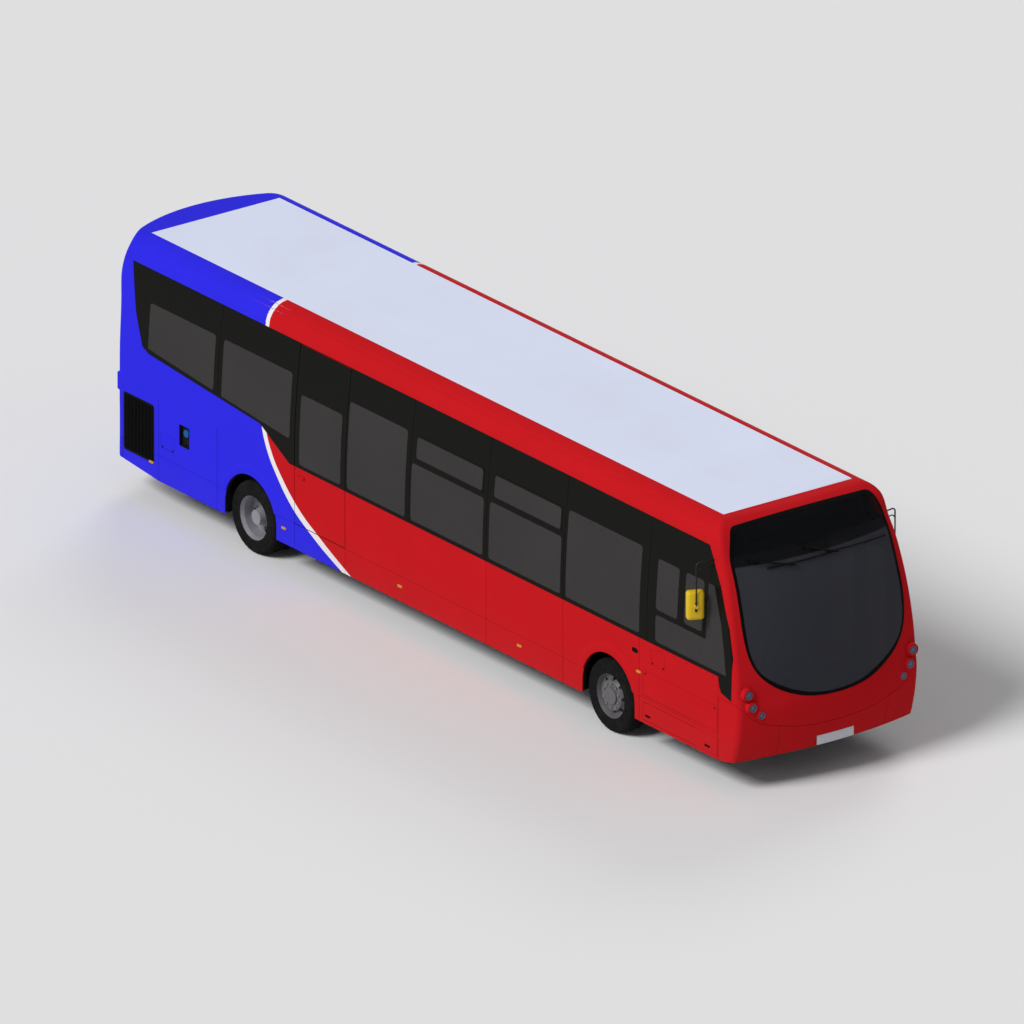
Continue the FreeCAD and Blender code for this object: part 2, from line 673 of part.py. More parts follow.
REAR_BUMPER_Z = 640.0
REAR_PANE = ((-800, 1560), (800, 1560), (760, 2330), (-760, 2330))
COVER_HALF_Y, COVER_Z0, COVER_Z1 = 840.0, 665.0, 1140.0
COVER_GAP = 6.0
COVER_HINGE = (TAIL_REACH - HINGE_R, 1150.0)
COVER_HINGE_YS = (-160.0, 160.0)


def cover_barrel(y, half, strap, foot):
    """A hinge barrel on the engine cover's top edge: its strap lies on the skin, its foot goes in."""
    x, z = COVER_HINGE
    barrel = cylinder((x, y - half, z), (x, y + half, z), HINGE_R)
    outer = box(x - HINGE_R, x + 2, y - half, y + half, z, z + strap)
    inner = box(x - HINGE_R, x + HINGE_R + 24, y - half, y + half, z + strap, z + foot)
    return fuse([barrel, outer, inner])


def cover_cutter(gap):
    y, z0, z1 = COVER_HALF_Y - gap, COVER_Z0 + gap, COVER_Z1 - gap
    return plate_yz([(-y, z0), (y, z0), (y, z1), (-y, z1)], -6200, -5400)


def rear_lamp_places():
    """Rear lamps on both sides, low to high: y, z, radius."""
    half = [(1040, z, 55) for z in (760, 890, 1020, 1150)] + [(960, 2600, 45)]
    return [(side * y, z, r) for side in (RIGHT, LEFT) for y, z, r in half]


def rear_moulding():
    """The rear panel with the window, the dome and the corner posts."""
    shell = keep(TAIL.cut(TAIL_INSIDE), x1=ROOF_X0, z0=REAR_BUMPER_Z)
    side_zone = [box(TAIL_EDGE_X, -5300, s * CANT_CY, s * 1400, 300, 3000) for s in (RIGHT, LEFT)]
    tools = side_zone + [plate_yz(REAR_PANE, -6200, -5400, 90), cover_cutter(0)]
    tools += [cylinder((-6000, y, z), (-5560, y, z), r + 2) for y, z, r in rear_lamp_places()]
    barrels = [cover_barrel(y + side * 61, 30, 8, 24) for y in COVER_HINGE_YS for side in (RIGHT, LEFT)]
    return fuse([cut(shell, tools)] + barrels)


def rear_window():
    """The bonded rear window."""
    return TAIL.common(plate_yz(REAR_PANE, -6200, -5400, 90)).cut(TAIL_GLASS_BACK)


def rear_bumper():
    """The rear skirt panel under the moulding."""
    shell = keep(TAIL.cut(TAIL_INSIDE), x1=TAIL_EDGE_X - GAP, z0=SKIRT_Z, z1=REAR_BUMPER_Z - GAP)
    return cut(shell, WEDGES)


def rear_lamps():
    """Round lamps in the rear corner posts and two at the roof."""
    shell = TAIL.cut(TAIL_INSIDE)
    return group(shell.common(cylinder((-6000, y, z), (-5560, y, z), r)) for y, z, r in rear_lamp_places())


def front_lamps():
    """Three round lamps in each front corner, set a little into their rings."""
    places = lamp_places()
    return group(cylinder((x - LAMP_DEPTH, y, z), (x - LAMP_LIP, y, z), r) for x, y, z, r, _ in places)


def engine_cover():
    """The top-hung hatch over the engine, with its louvres."""
    shell = TAIL.cut(TAIL_INSIDE).common(cover_cutter(COVER_GAP))
    slots = [box(-6200, -5400, -560, 560, z, z + 22) for z in range(870, 1080, 42)]
    barrels = [cover_barrel(y, 29, -20, -36) for y in COVER_HINGE_YS]
    return fuse([cut(shell, slots)] + barrels)


def radiator_grille():
    """Upright bars over the radiator in the driver's side."""
    y0, y1 = -WIDTH / 2 + 2, -WIDTH / 2 + 30
    rim = cut(
        box(GRILLE_X0 + 2, GRILLE_X1 - 2, y0, y1, GRILLE_Z0 + 2, GRILLE_Z1 - 2),
        [box(GRILLE_X0 + 24, GRILLE_X1 - 24, y0 - 5, y1 + 5, GRILLE_Z0 + 24, GRILLE_Z1 - 24)],
    )
    starts = range(int(GRILLE_X0) + 36, int(GRILLE_X1) - 30, GRILLE_PITCH)
    bars = [box(x, x + 9, y0 + 2, y1, GRILLE_Z0 + 24, GRILLE_Z1 - 24) for x in starts]
    outline = rect_xz(GRILLE_X0 + 2, GRILLE_X1 - 2, GRILLE_Z0 + 2, GRILLE_Z1 - 2, -1300, -1100, 38)
    return fuse([rim] + bars).common(outline)


def exit_door():
    """The emergency door: a full-height panel with its window, hinged at its front edge."""
    x0, x1 = EXIT_X0 + EXIT_GAP, EXIT_X1 - EXIT_GAP
    wall = side_layer(RIGHT, x0, x1, SEAM_Z + EXIT_GAP, EXIT_TOP_Z - EXIT_GAP, 0, WALL_T)
    pocket = side_layer(RIGHT, EXIT_X0, EXIT_X1, WAIST_Z + 1, EXIT_TOP_Z + 5, -20, SKIN_T)
    door = cut(wall, [pocket, pane_cutter(EXIT_PANE, RIGHT)])
    handle = box(EXIT_X0 + 70, EXIT_X0 + 190, -WIDTH / 2 - 18, -WIDTH / 2 + 1, 1185, 1210)
    x, y = EXIT_HINGE
    barrels = [cylinder((x, y, z - 30), (x, y, z + 30), HINGE_R) for z in EXIT_HINGE_ZS]
    return fuse([door, handle] + barrels)


def exit_glass():
    """The glass bonded over the emergency door."""
    x0, x1 = EXIT_X0 + EXIT_GAP, EXIT_X1 - EXIT_GAP
    return side_layer(RIGHT, x0, x1, WAIST_Z + 1 + GAP / 2, EXIT_TOP_Z - EXIT_GAP, 0, SHEET_T)


def roof_panel():
    """The flat middle of the roof with its lining."""
    return box(ROOF_X0, ROOF_X1, -CANT_CY + 1, CANT_CY - 1, HEIGHT - ROOF_T, HEIGHT)


# Turn from the vertical, in degrees, of the grooves along the cant rails
COVE_GROOVES = (28.0, 45.0)


def cant_rail(side):
    """The curved cover between the windows and the roof, with two fine grooves along it."""
    rail = cove_layer(side, TAIL_EDGE_X, MOULD_X - 1, BAND_TOP_Z, 0, ROOF_T)
    grooves = []
    for angle in COVE_GROOVES:
        y = side * (CANT_CY + CANT_R * math.sin(math.radians(angle)))
        z = CANT_CZ + CANT_R * math.cos(math.radians(angle))
        grooves.append(cylinder((TAIL_EDGE_X - 10, y, z), (MOULD_X + 10, y, z), 2.5))
    return cut(rail, grooves)


# Floor, with a plain box over each wheel: axle x, half length, inner y, foot z, top z
WHEEL_BOX_T = 15.0
FRONT_BOX = (FRONT_AXLE_X, 530, 625, 370, 975)
REAR_BOX = (REAR_AXLE_X, 485, 635, 590, 935)
BOXES = tuple((box_place, side) for box_place in (FRONT_BOX, REAR_BOX) for side in (RIGHT, LEFT))
INNER_Y = WIDTH / 2 - WALL_T - 2
FLOOR_T = 30.0


def saloon_floor():
    """The floor: low from the door to the middle, then two steps up to the rear."""
    low, middle, high = FLOOR_Z - FLOOR_T, MID_STEP_Z - FLOOR_T, REAR_FLOOR_Z - FLOOR_T
    outline = [
        (5150, FLOOR_Z),
        (STEP_1_X, FLOOR_Z),
        (STEP_1_X, MID_STEP_Z),
        (STEP_2_X, MID_STEP_Z),
        (STEP_2_X, REAR_FLOOR_Z),
        (-5440, REAR_FLOOR_Z),
        (-5440, high),
        (STEP_2_X - FLOOR_T, high),
        (STEP_2_X - FLOOR_T, middle),
        (STEP_1_X - FLOOR_T, middle),
        (STEP_1_X - FLOOR_T, low),
        (5150, low),
    ]
    holes = []
    for (x, reach, y, _, z1), side in BOXES:
        holes.append(box(x - reach - 1, x + reach + 1, side * (y - 1), side * 1400, 200, z1))
    return cut(plate_xz(outline, -INNER_Y, INNER_Y), holes)


def wheel_boxes():
    """The four covers over the wheels, open outwards and below."""
    boxes = []
    t = WHEEL_BOX_T
    for (x, reach, y, z0, z1), side in BOXES:
        outside = box(x - reach, x + reach, side * y, side * INNER_Y, z0, z1)
        hollow = box(x - reach + t, x + reach - t, side * (y + t), side * 1400, 200, z1 - t)
        boxes.append(outside.cut(hollow))
    return group(boxes)


# The chassis rails: low between the axles, raised over the rear axle
RAIL_Y0, RAIL_Y1 = 395.0, 465.0
RAIL_Z0, RAIL_Z1 = 262.0, 365.0
RAIL_HIGH_Z0, RAIL_HIGH_Z1 = 515.0, 585.0
JACK_PAD_XS = (4600.0, -1700.0)
JACK_PAD_Z = 250.0


def chassis_rails():
    """Both main rails, with a jacking pad under each end of the low stretch."""
    outline = [
        (5100, RAIL_Z1),
        (-2395, RAIL_Z1),
        (-2630, RAIL_HIGH_Z1),
        (-5420, RAIL_HIGH_Z1),
        (-5420, RAIL_HIGH_Z0),
        (-2780, RAIL_HIGH_Z0),
        (-2525, RAIL_Z0),
        (5100, RAIL_Z0),
    ]
    rails = []
    for side in (RIGHT, LEFT):
        rail = plate_xz(outline, side * RAIL_Y0, side * RAIL_Y1)
        y0, y1 = side * (RAIL_Y0 - 10), side * (RAIL_Y1 + 10)
        pads = [box(x - 50, x + 50, y0, y1, JACK_PAD_Z, RAIL_Z0) for x in JACK_PAD_XS]
        rails.append(fuse([rail] + pads))
    return group(rails)


def cross_members():
    """Tubes between the rails, and outriggers from the rails to the side walls."""
    low = [box(x, x + 70, -RAIL_Y0, RAIL_Y0, 290, 350) for x in (4700, 3900, 2600, 1500, 300, -900, -2000)]
    high = [box(x, x + 70, -RAIL_Y0, RAIL_Y0, 530, 580) for x in (-2750, -3750, -4200)]
    arms = []
    for x in (4640, 2600, 1500, 300, -900, -2000):
        arms += [box(x, x + 50, side * RAIL_Y1, side * INNER_Y, 300, 350) for side in (RIGHT, LEFT)]
    return group(low + high + arms)


HUB_BORE_FRONT, HUB_BORE_REAR = 38.1, 45.1
KINGPIN_Y = 925.0
TRACK_ARM = 240.0
TRACK_ROD_Z = 226.0


def front_axle():
    """The dropped beam, with an eye for each kingpin and pads to the rails."""
    x = FRONT_AXLE_X
    beam = box(x - 45, x + 45, -740, 740, 165, 245)
    rise = ((680, 165), (740, 165), (858, 368), (900, 368), (900, 470), (850, 470))
    pieces = [beam]
    for side in (RIGHT, LEFT):
        pieces.append(plate_yz([(side * y, z) for y, z in rise], x - 45, x + 45))
        pieces.append(cylinder((x, side * KINGPIN_Y, 368), (x, side * KINGPIN_Y, 470), 50))
        pieces.append(cylinder((x, side * KINGPIN_Y, 320), (x, side * KINGPIN_Y, 520), 20))
        pieces.append(box(x - 90, x + 90, side * RAIL_Y0, side * RAIL_Y1, 235, RAIL_Z0))
    return fuse(pieces)


def knuckle(side):
    """The steering knuckle: a fork on the kingpin, the stub axle and the track arm."""
    x, y = FRONT_AXLE_X, side * KINGPIN_Y
    ears = []
    for z0, z1 in ((318, 363), (475, 522)):
        ears.append(cylinder((x, y, z0), (x, y, z1), 48))
        ears.append(box(x - 45, x + 45, y, side * (KINGPIN_Y + 78), z0, z1))
    web = box(x - 60, x + 60, side * (KINGPIN_Y + 58), side * (KINGPIN_Y + 88), 318, 522)
    stub = cylinder((x, side * (KINGPIN_Y + 80), AXLE_Z), (x, side * 1120, AXLE_Z), 38)
    arm_line = [
        (x + 40, 318),
        (x - 80, 300),
        (x - 210, 258),
        (x - 265, 258),
        (x - 265, 280),
        (x - 210, 282),
        (x - 80, 332),
        (x - 40, 345),
    ]
    arm = plate_xz(arm_line, side * (KINGPIN_Y - 28), side * (KINGPIN_Y + 12))
    body = fuse(ears + [web, stub, arm])
    bore = cylinder((x, y, 200), (x, y, 600), 20.05)
    pin_hole = cylinder((x - TRACK_ARM, y, 200), (x - TRACK_ARM, y, 400), 10.05)
    return cut(body, [bore, pin_hole])


def track_rod():
    """The track rod behind the front axle, with a ball pin up into each track arm."""
    x, z = FRONT_AXLE_X - TRACK_ARM, TRACK_ROD_Z
    pieces = [cylinder((x, -KINGPIN_Y + 10, z), (x, KINGPIN_Y - 10, z), 17)]
    for side in (RIGHT, LEFT):
        y = side * KINGPIN_Y
        pieces.append(cylinder((x, y, z - 20), (x, y, z + 24), 20))
        pieces.append(cylinder((x, y, z + 24), (x, y, 276), 10))
    return fuse(pieces)


def rear_axle():
    """The driven axle: tubes, the drive head and its hubs, hung from the rails by pads."""
    x = REAR_AXLE_X
    tube = cylinder((x, -860, AXLE_Z), (x, 860, AXLE_Z), 70)
    head = cylinder((x, -130, AXLE_Z), (x, 130, AXLE_Z), 150)
    nose = cylinder((x, 0, AXLE_Z), (x - 330, 0, AXLE_Z), 75)
    pads = []
    for side in (RIGHT, LEFT):
        pads.append(box(x - 60, x + 60, side * RAIL_Y0, side * RAIL_Y1, AXLE_Z + 40, RAIL_HIGH_Z0))
    spindles = [cylinder((x, side * 850, AXLE_Z), (x, side * 1090, AXLE_Z), 45) for side in (RIGHT, LEFT)]
    return fuse([tube, head, nose] + pads + spindles)


def engine_block():
    """The engine and its gearbox, as plain blocks."""
    block = box(-5380, -4560, -345, 345, 400, 845)
    gearbox = box(-4562, -4250, -230, 230, 380, 585)
    return fuse([block, gearbox])


def tyre(x, side, y_out):
    """A plain tyre in flat facets: bead, bulging wall, shoulder and tread on either side."""
    half = ((26, BEAD_R), (0, 335), (12, 402), (44, TYRE_R))
    across = [(a, r) for a, r in half] + [(TYRE_W - a, r) for a, r in reversed(half)]
    rings = []
    for i in range(TYRE_FACETS):
        turn = 2 * math.pi * i / TYRE_FACETS - math.pi / 2
        c, s = math.cos(turn), math.sin(turn)
        rings.append([V(x + r * c, side * (y_out - a), AXLE_Z + r * s) for a, r in across])
    faces = []
    for i, ring in enumerate(rings):
        after = rings[(i + 1) % TYRE_FACETS]
        for j in range(len(across)):
            k = (j + 1) % len(across)
            faces.append(Part.Face(Part.makePolygon([ring[j], ring[k], after[k], after[j], ring[j]])))
    return Part.makeSolid(Part.makeShell(faces))


RIM_R = BEAD_R - 0.5
WELL_R = 236.0
FLANGE_R = 272.0


def rim_barrel(at):
    """The rim's turned section, outer flange first; at gives a place across the wheel."""
    w = TYRE_W - 24
    return [
        (at(10), FLANGE_R),
        (at(10), 259),
        (at(30), 249),
        (at(60), WELL_R),
        (at(w - 20), WELL_R),
        (at(w), 249),
        (at(w + 14), 259),
        (at(w + 14), FLANGE_R),
        (at(w + 2), FLANGE_R),
        (at(w - 2), RIM_R),
        (at(26), RIM_R),
        (at(22), FLANGE_R),
    ]


def hand_holes(x, y0, y1):
    """The ring of round holes through a wheel's disc."""
    holes = []
    for i in range(8):
        turn = 2 * math.pi * i / 8
        cx, cz = x + 190 * math.cos(turn), AXLE_Z + 190 * math.sin(turn)
        holes.append(cylinder((cx, y0, cz), (cx, y1, cz), 24))
    return holes


def front_rim(side):
    """A front wheel without its tyre: the rim, its disc and the hub that turns on the stub axle."""
    x = FRONT_AXLE_X

    def at(a):
        return side * (TYRE_OUT_Y - a)

    dish = 62
    disc = [
        (at(dish), 238),
        (at(dish), 190),
        (at(dish - 38), 165),
        (at(dish - 38), 60),
        (at(dish - 22), 60),
        (at(dish - 22), 155),
        (at(dish + 14), 182),
        (at(dish + 14), 238),
    ]
    hub = [
        (at(173), HUB_BORE_FRONT),
        (at(173), 150),
        (at(90), 150),
        (at(90), 110),
        (at(4), 95),
        (at(4), 0),
        (at(68), 0),
        (at(68), HUB_BORE_FRONT),
    ]
    pieces = [turned(outline, (x, 0, AXLE_Z), (0, 1, 0)) for outline in (rim_barrel(at), disc, hub)]
    return cut(fuse(pieces), hand_holes(x, at(dish + 60), at(dish - 60)))


def twin_rims(side):
    """Twin rims bolted back to back on one hub."""
    x = REAR_AXLE_X

    def at(a):
        return side * (TYRE_OUT_Y - a)

    def at_inner(a):
        return at(a + TWIN_PITCH)

    disc = [(at(176), 238), (at(176), 60), (at(190), 60), (at(190), 238)]
    link = [(at(176), 215), (at(176), 238), (at(350), 238), (at(350), 222), (at(190), 222), (at(190), 215)]
    hub = [
        (at(320), HUB_BORE_REAR),
        (at(95), HUB_BORE_REAR),
        (at(95), 0),
        (at(40), 0),
        (at(40), 80),
        (at(130), 100),
        (at(176), 140),
        (at(320), 140),
    ]
    outlines = (rim_barrel(at), rim_barrel(at_inner), disc, link, hub)
    solid = fuse([turned(outline, (x, 0, AXLE_Z), (0, 1, 0)) for outline in outlines])
    return cut(solid, hand_holes(x, at(140), at(192)))


# The passenger door: two leaves that turn and glide in on leaning posts
LEAF_T = 34.0
ARM_LOW_Z, ARM_HIGH_Z = 620.0, 2200.0
POST_TOP_Z = 2252.0
ROLLER_Z = 2271.0
LEAF_MID_X = (DOOR_X0 + DOOR_X1) / 2
LEAF_Z0, LEAF_Z1 = DOOR_Z0 + 20.0, DOOR_Z1 - 12.0
STRAP_REACH, STRAP_TURN = 165.0, 12.0


def lean(shape):
    """Tips a shape inwards with the posts, which follow the slope of the side."""
    turned_shape = shape.copy()
    turned_shape.rotate(V(0, DOOR_POST_Y, DOOR_Z0), V(1, 0, 0), DOOR_LEAN)
    return turned_shape


def post_place(front):
    """Where a post stands, and which way its arms point when shut."""
    return (DOOR_X1 - DOOR_POST_INSET, -1) if front else (DOOR_X0 + DOOR_POST_INSET, 1)


def door_post(front):
    """The turning post by one jamb, with an arm near its foot and another near its head."""
    x, s = post_place(front)
    y = DOOR_POST_Y
    tip = x + s * DOOR_ARM
    pieces = [cylinder((x, y, FLOOR_Z + 8), (x, y, POST_TOP_Z), DOOR_POST_R)]
    for z in (ARM_LOW_Z, ARM_HIGH_Z):
        pieces.append(box(x, tip, y - 14, y + 14, z - 12, z + 12))
        pieces.append(cylinder((tip, y, z - 12), (tip, y, z + 12), 20))
    eyes = [cylinder((tip, y, z - 30), (tip, y, z + 30), 9.05) for z in (ARM_LOW_Z, ARM_HIGH_Z)]
    return lean(cut(fuse(pieces), eyes))


def leaf_span(front):
    """Rear and front edge of a leaf."""
    if front:
        return LEAF_MID_X + 8, DOOR_X1 - DOOR_EDGE_GAP
    return DOOR_X0 + DOOR_EDGE_GAP, LEAF_MID_X - 8


def strap(points, width, z0, z1):
    """A flat bar through points of the plan view."""
    bars = []
    for a, b in zip(points[:-1], points[1:]):
        run = V(b[0] - a[0], b[1] - a[1], 0)
        across = V(-run.y, run.x, 0).normalize() * (width / 2)
        corners = [V(*a, z0) + across, V(*a, z0) - across, V(*b, z0) - across, V(*b, z0) + across]
        bars.append(Part.Face(Part.makePolygon(corners + [corners[0]])).extrude(V(0, 0, z1 - z0)))
    joints = [cylinder((x, y, z0), (x, y, z1), width / 2) for x, y in points[:-1]]
    return fuse(bars + joints)


def leaf_wall_y(z):
    """Just inside a leaf's back face at a height, for a bracket that is tipped with the posts."""
    return side_y(z, 4 + LEAF_T - 10) + (z - DOOR_Z0) * math.sin(math.radians(DOOR_LEAN))


def leaf_opening(x0, x1, inset):
    """The round-cornered opening for the glass of a leaf that runs from x0 to x1."""
    side, low, high, radius = 55 + inset, 90 + inset, 80 + inset, 50 - inset
    return rect_xz(x0 + side, x1 - side, LEAF_Z0 + low, LEAF_Z1 - high, 1000, 1300, radius)


def door_leaf(front):
    """One leaf: an aluminium frame round tall glass, its brackets to the arms, and the guide roller.

    Each bracket goes round the post, which passes between the pin and the leaf as the door opens.
    """
    x, s = post_place(front)
    y = DOOR_POST_Y
    x0, x1 = leaf_span(front)
    leaf = side_layer(LEFT, x0, x1, LEAF_Z0, LEAF_Z1, 4, 4 + LEAF_T)
    leaf = leaf.cut(leaf_opening(x0, x1, 0))
    pin_x = x + s * DOOR_ARM
    roller_x = x + s * DOOR_ARM * 2
    brackets, rails = [], []
    turn = math.radians(STRAP_TURN)
    elbow = (pin_x + s * STRAP_REACH * math.cos(turn), y - STRAP_REACH * math.sin(turn))
    for z, low, high in ((ARM_LOW_Z, 18, 36), (ARM_HIGH_Z, -36, -18)):
        brackets.append(strap([(pin_x, y), elbow, (elbow[0], leaf_wall_y(z))], 28, z + low, z + high))
        brackets.append(cylinder((pin_x, y, z - 20), (pin_x, y, z + 20), 9))
        middle = z + (low + high) / 2
        rails.append(side_layer(LEFT, x0 + 5, x1 - 5, middle - 18, middle + 18, 24, 4 + LEAF_T))
    brackets.append(box(roller_x - 14, roller_x + 14, y, leaf_wall_y(ROLLER_Z), ROLLER_Z - 9, ROLLER_Z + 9))
    brackets.append(cylinder((roller_x, y, ROLLER_Z - 9), (roller_x, y, ROLLER_Z + 9), 14))
    brackets.append(cylinder((roller_x, y, ROLLER_Z), (roller_x, y, 2380), 8))
    brackets.append(cylinder((roller_x, y, 2376), (roller_x, y, 2392), 13))
    return fuse([leaf, *rails] + [lean(bracket) for bracket in brackets])


def door_glass(front):
    """The glass of one leaf."""
    x0, x1 = leaf_span(front)
    return side_layer(LEFT, x0, x1, LEAF_Z0, LEAF_Z1, 8, 14).common(leaf_opening(x0, x1, 1))


def door_portal():
    """The header channel in which the rollers run, and the hangers that hold the posts' heads."""
    y = DOOR_POST_Y
    x0, x1 = DOOR_X0 - 40, DOOR_X1 + 20
    pieces = [
        box(x0, x1, y - 110, y + 60, 2400, 2500),
        box(x0, x1, y - 110, y - 19, 2368, 2400),
        box(x0, x1, y + 19, y + 60, 2368, 2400),
    ]
    eyes = []
    for front in (True, False):
        x, _ = post_place(front)
        pieces.append(box(x - 15, x + 15, y - 72, y - 48, 2222, 2370))
        pieces.append(box(x - 15, x + 15, y - 72, y, 2222, 2242))
        pieces.append(cylinder((x, y, 2222), (x, y, 2242), 30))
        eyes.append(cylinder((x, y, 2200), (x, y, 2260), DOOR_POST_R + 0.05))
    return lean(cut(fuse(pieces), eyes))


# Driver's place
CAB_REAR_X = 4100.0
CAB_FLOOR_Z = 560.0
CAB_WALL_Y = -150.0
DRIVER_Y = -640.0
CAB_DOOR_X1 = 4760.0
CAB_HINGE = (4166.0, -148.0)
CAB_HINGE_ZS = (680.0, 1240.0)


def cab_platform():
    """The raised floor under the driver."""
    return box(CAB_REAR_X, 5140, -INNER_Y, CAB_WALL_Y, FLOOR_Z + 1, CAB_FLOOR_Z)


def cab_screen():
    """The wall behind the driver, glazed above, the post by the cab door and the short wall by the desk."""
    rear = box(CAB_REAR_X, CAB_REAR_X + 40, -INNER_Y + 65, CAB_WALL_Y - 5, CAB_FLOOR_Z, 2300)
    rear = cut(rear, [box(CAB_REAR_X - 10, CAB_REAR_X + 60, -1020, -230, 1350, 2200)])
    post = box(CAB_REAR_X, CAB_REAR_X + 55, CAB_WALL_Y - 40, CAB_WALL_Y, CAB_FLOOR_Z, 2929)
    front = box(CAB_DOOR_X1 + 12, 5140, CAB_WALL_Y - 30, CAB_WALL_Y, CAB_FLOOR_Z, 1300)
    x, y = CAB_HINGE
    barrels = []
    for z in CAB_HINGE_ZS:
        barrels.append(cylinder((x, y, z - 62), (x, y, z - 32), HINGE_R))
        barrels.append(box(CAB_REAR_X + 50, x, y - HINGE_R, y, z - 62, z - 32))
    return fuse([rear, post, front] + barrels)


def cab_door():
    """The half door into the cab, hinged at the rear."""
    x, y = CAB_HINGE
    door = box(x + 6, CAB_DOOR_X1, CAB_WALL_Y - 30, CAB_WALL_Y, CAB_FLOOR_Z + 15, 1350)
    barrels = []
    for z in CAB_HINGE_ZS:
        barrels.append(cylinder((x, y, z - 30), (x, y, z + 30), HINGE_R))
        barrels.append(box(x, x + 12, y - HINGE_R, y, z - 30, z + 30))
    return fuse([door] + barrels)


def dashboard():
    """The driver's desk with its binnacle, the steering wheel on its column, and the front shelf."""
    desk_line = [
        (5141, CAB_FLOOR_Z + 1),
        (5500, CAB_FLOOR_Z + 1),
        (5580, 900),
        (5560, 1000),
        (5200, 1060),
        (5060, 1010),
        (5141, 800),
    ]
    shelf_line = [(5330, 401), (5520, 401), (5580, 900), (5560, 985), (5330, 985)]
    hood_line = [(5140, 1000), (5400, 1020), (5380, 1120), (5200, 1150)]
    desk = plate_xz(desk_line, -1040, CAB_WALL_Y - 35)
    shelf = plate_xz(shelf_line, CAB_WALL_Y - 36, 960)
    hood = plate_xz(hood_line, -880, -400, 25)
    hub = V(4960, DRIVER_Y, 1150)
    tilt = V(-0.5, 0, 0.866)
    column = cylinder((5190, DRIVER_Y, 760), tuple(hub), 35)
    ring = Part.makeTorus(225, 15, hub + tilt * 20, tilt)
    spokes = []
    for direction in (V(0, 1, 0), V(0, -1, 0), V(-0.866, 0, -0.5)):
        spokes.append(cylinder(tuple(hub), tuple(hub + tilt * 20 + direction * 222), 11))
    boss = Part.makeCylinder(55, 45, hub - tilt * 20, tilt)
    return fuse([desk, shelf, hood, column, ring, boss] + spokes)


def driver_seat():
    """A high-backed seat on its pedestal."""
    y = DRIVER_Y
    foot = box(4330, 4650, y - 150, y + 150, CAB_FLOOR_Z, 860)
    cushion = round_edges(box(4270, 4730, y - 245, y + 245, 860, 960), 35, (0, 1, 0))
    back = plate_xz([(4290, 900), (4370, 900), (4300, 1650), (4220, 1650)], y - 240, y + 240, 25)
    head = plate_xz([(4235, 1640), (4300, 1640), (4280, 1830), (4225, 1830)], y - 130, y + 130, 20)
    return fuse([foot, cushion, back, head])


# Double seats: side, what they stand on, and the rear edge of each cushion
SEAT_ROWS = (
    (LEFT, FLOOR_Z, (2200, 1420, 640, -140, -920, -1700)),
    (RIGHT, FLOOR_Z, (640, -140, -920)),
    (LEFT, MID_STEP_Z, (-2780, -3560)),
    (RIGHT, MID_STEP_Z, (-2780, -3560)),
    (LEFT, REAR_FLOOR_Z, (-4420, -5180)),
    (RIGHT, REAR_FLOOR_Z, (-4420, -5180)),
)
SEAT_Y = 715.0


def seat_pair(x, side, z):
    """A double seat on one leg, which stands on the floor or on a wheel box."""
    y = side * SEAT_Y
    cushion = round_edges(box(x, x + 430, y - 435, y + 435, z + 380, z + 460), 30, (0, 1, 0))
    back_line = [(x - 20, z + 400), (x + 50, z + 400), (x - 70, z + 1130), (x - 130, z + 1130)]
    back = plate_xz(back_line, y - 430, y + 430, 20)
    axle_x, reach, _, _, box_top = REAR_BOX
    foot_z = box_top if abs(x + 160 - axle_x) < reach else z
    leg = box(x + 120, x + 200, y - side * 60, y, foot_z, z + 385)
    return fuse([cushion, back, leg])


def passenger_seats():
    """All the double seats."""
    return group(seat_pair(x, side, z) for side, z, rows in SEAT_ROWS for x in rows)


POLE_R = 17.0
CEILING_Z = HEIGHT - ROOF_T


def stanchions():
    """Upright poles by the gangway and the long grab rails that join them."""
    rail_z, pole_y, rear_x = 2200, 262, -4380
    sets = []
    for side, low_xs in ((RIGHT, (2560, 560, -1000)), (LEFT, (3950, 2120, 560, -1000))):
        y = side * pole_y
        poles = [cylinder((x, y, FLOOR_Z), (x, y, CEILING_Z), POLE_R) for x in low_xs]
        poles.append(cylinder((-2600, y, MID_STEP_Z), (-2600, y, CEILING_Z), POLE_R))
        poles.append(cylinder((rear_x, y, REAR_FLOOR_Z), (rear_x, y, CEILING_Z), POLE_R))
        poles.append(cylinder((rear_x, y, rail_z), (low_xs[0], y, rail_z), POLE_R))
        sets.append(fuse(poles))
    return group(sets)


HEADER_X, HEADER_HALF_Y, HEADER_ZS = 5315.0, 860.0, (2510.0, 2604.0)


def destination_box():
    """The open case over the windscreen for the route display, and the header panel under it."""
    x0, x1, z0, half, t = 4900, 5290, 2560, 800, 12
    side_line = [(x0, z0), (x1, z0), (5230, 2740), (5120, 2840), (4990, 2880), (x0, 2880)]
    ends = [plate_xz(side_line, side * (half - t), side * half) for side in (RIGHT, LEFT)]
    shelf = box(x0, x1, -half, half, z0, z0 + t)
    back = box(x0, x0 + t, -half, half, z0, 2880)
    header = box(x1 - t, HEADER_X, -HEADER_HALF_Y, HEADER_HALF_Y, *HEADER_ZS)
    return fuse(ends + [shelf, back, header])


def skin_x(y, z, t=0.0):
    """The front's surface at a place in the front view, inside its corners."""
    bow = nose_bow(z)
    return nose_x(z, t) - (bow - math.sqrt(bow**2 - y * y))


# Wipers parked along the top of the windscreen: spindle, arm end, blade ends, each (y, z)
WIPERS = (
    ((-835, 2564), (-345, 2450), (-669, 2462), (180, 2468)),
    ((-140, 2584), (237, 2464), (99, 2485), (961, 2439)),
)
SPINDLE_R = 16.0
BLADE_BENDS = 5
BLADE_LIFT = 16.0


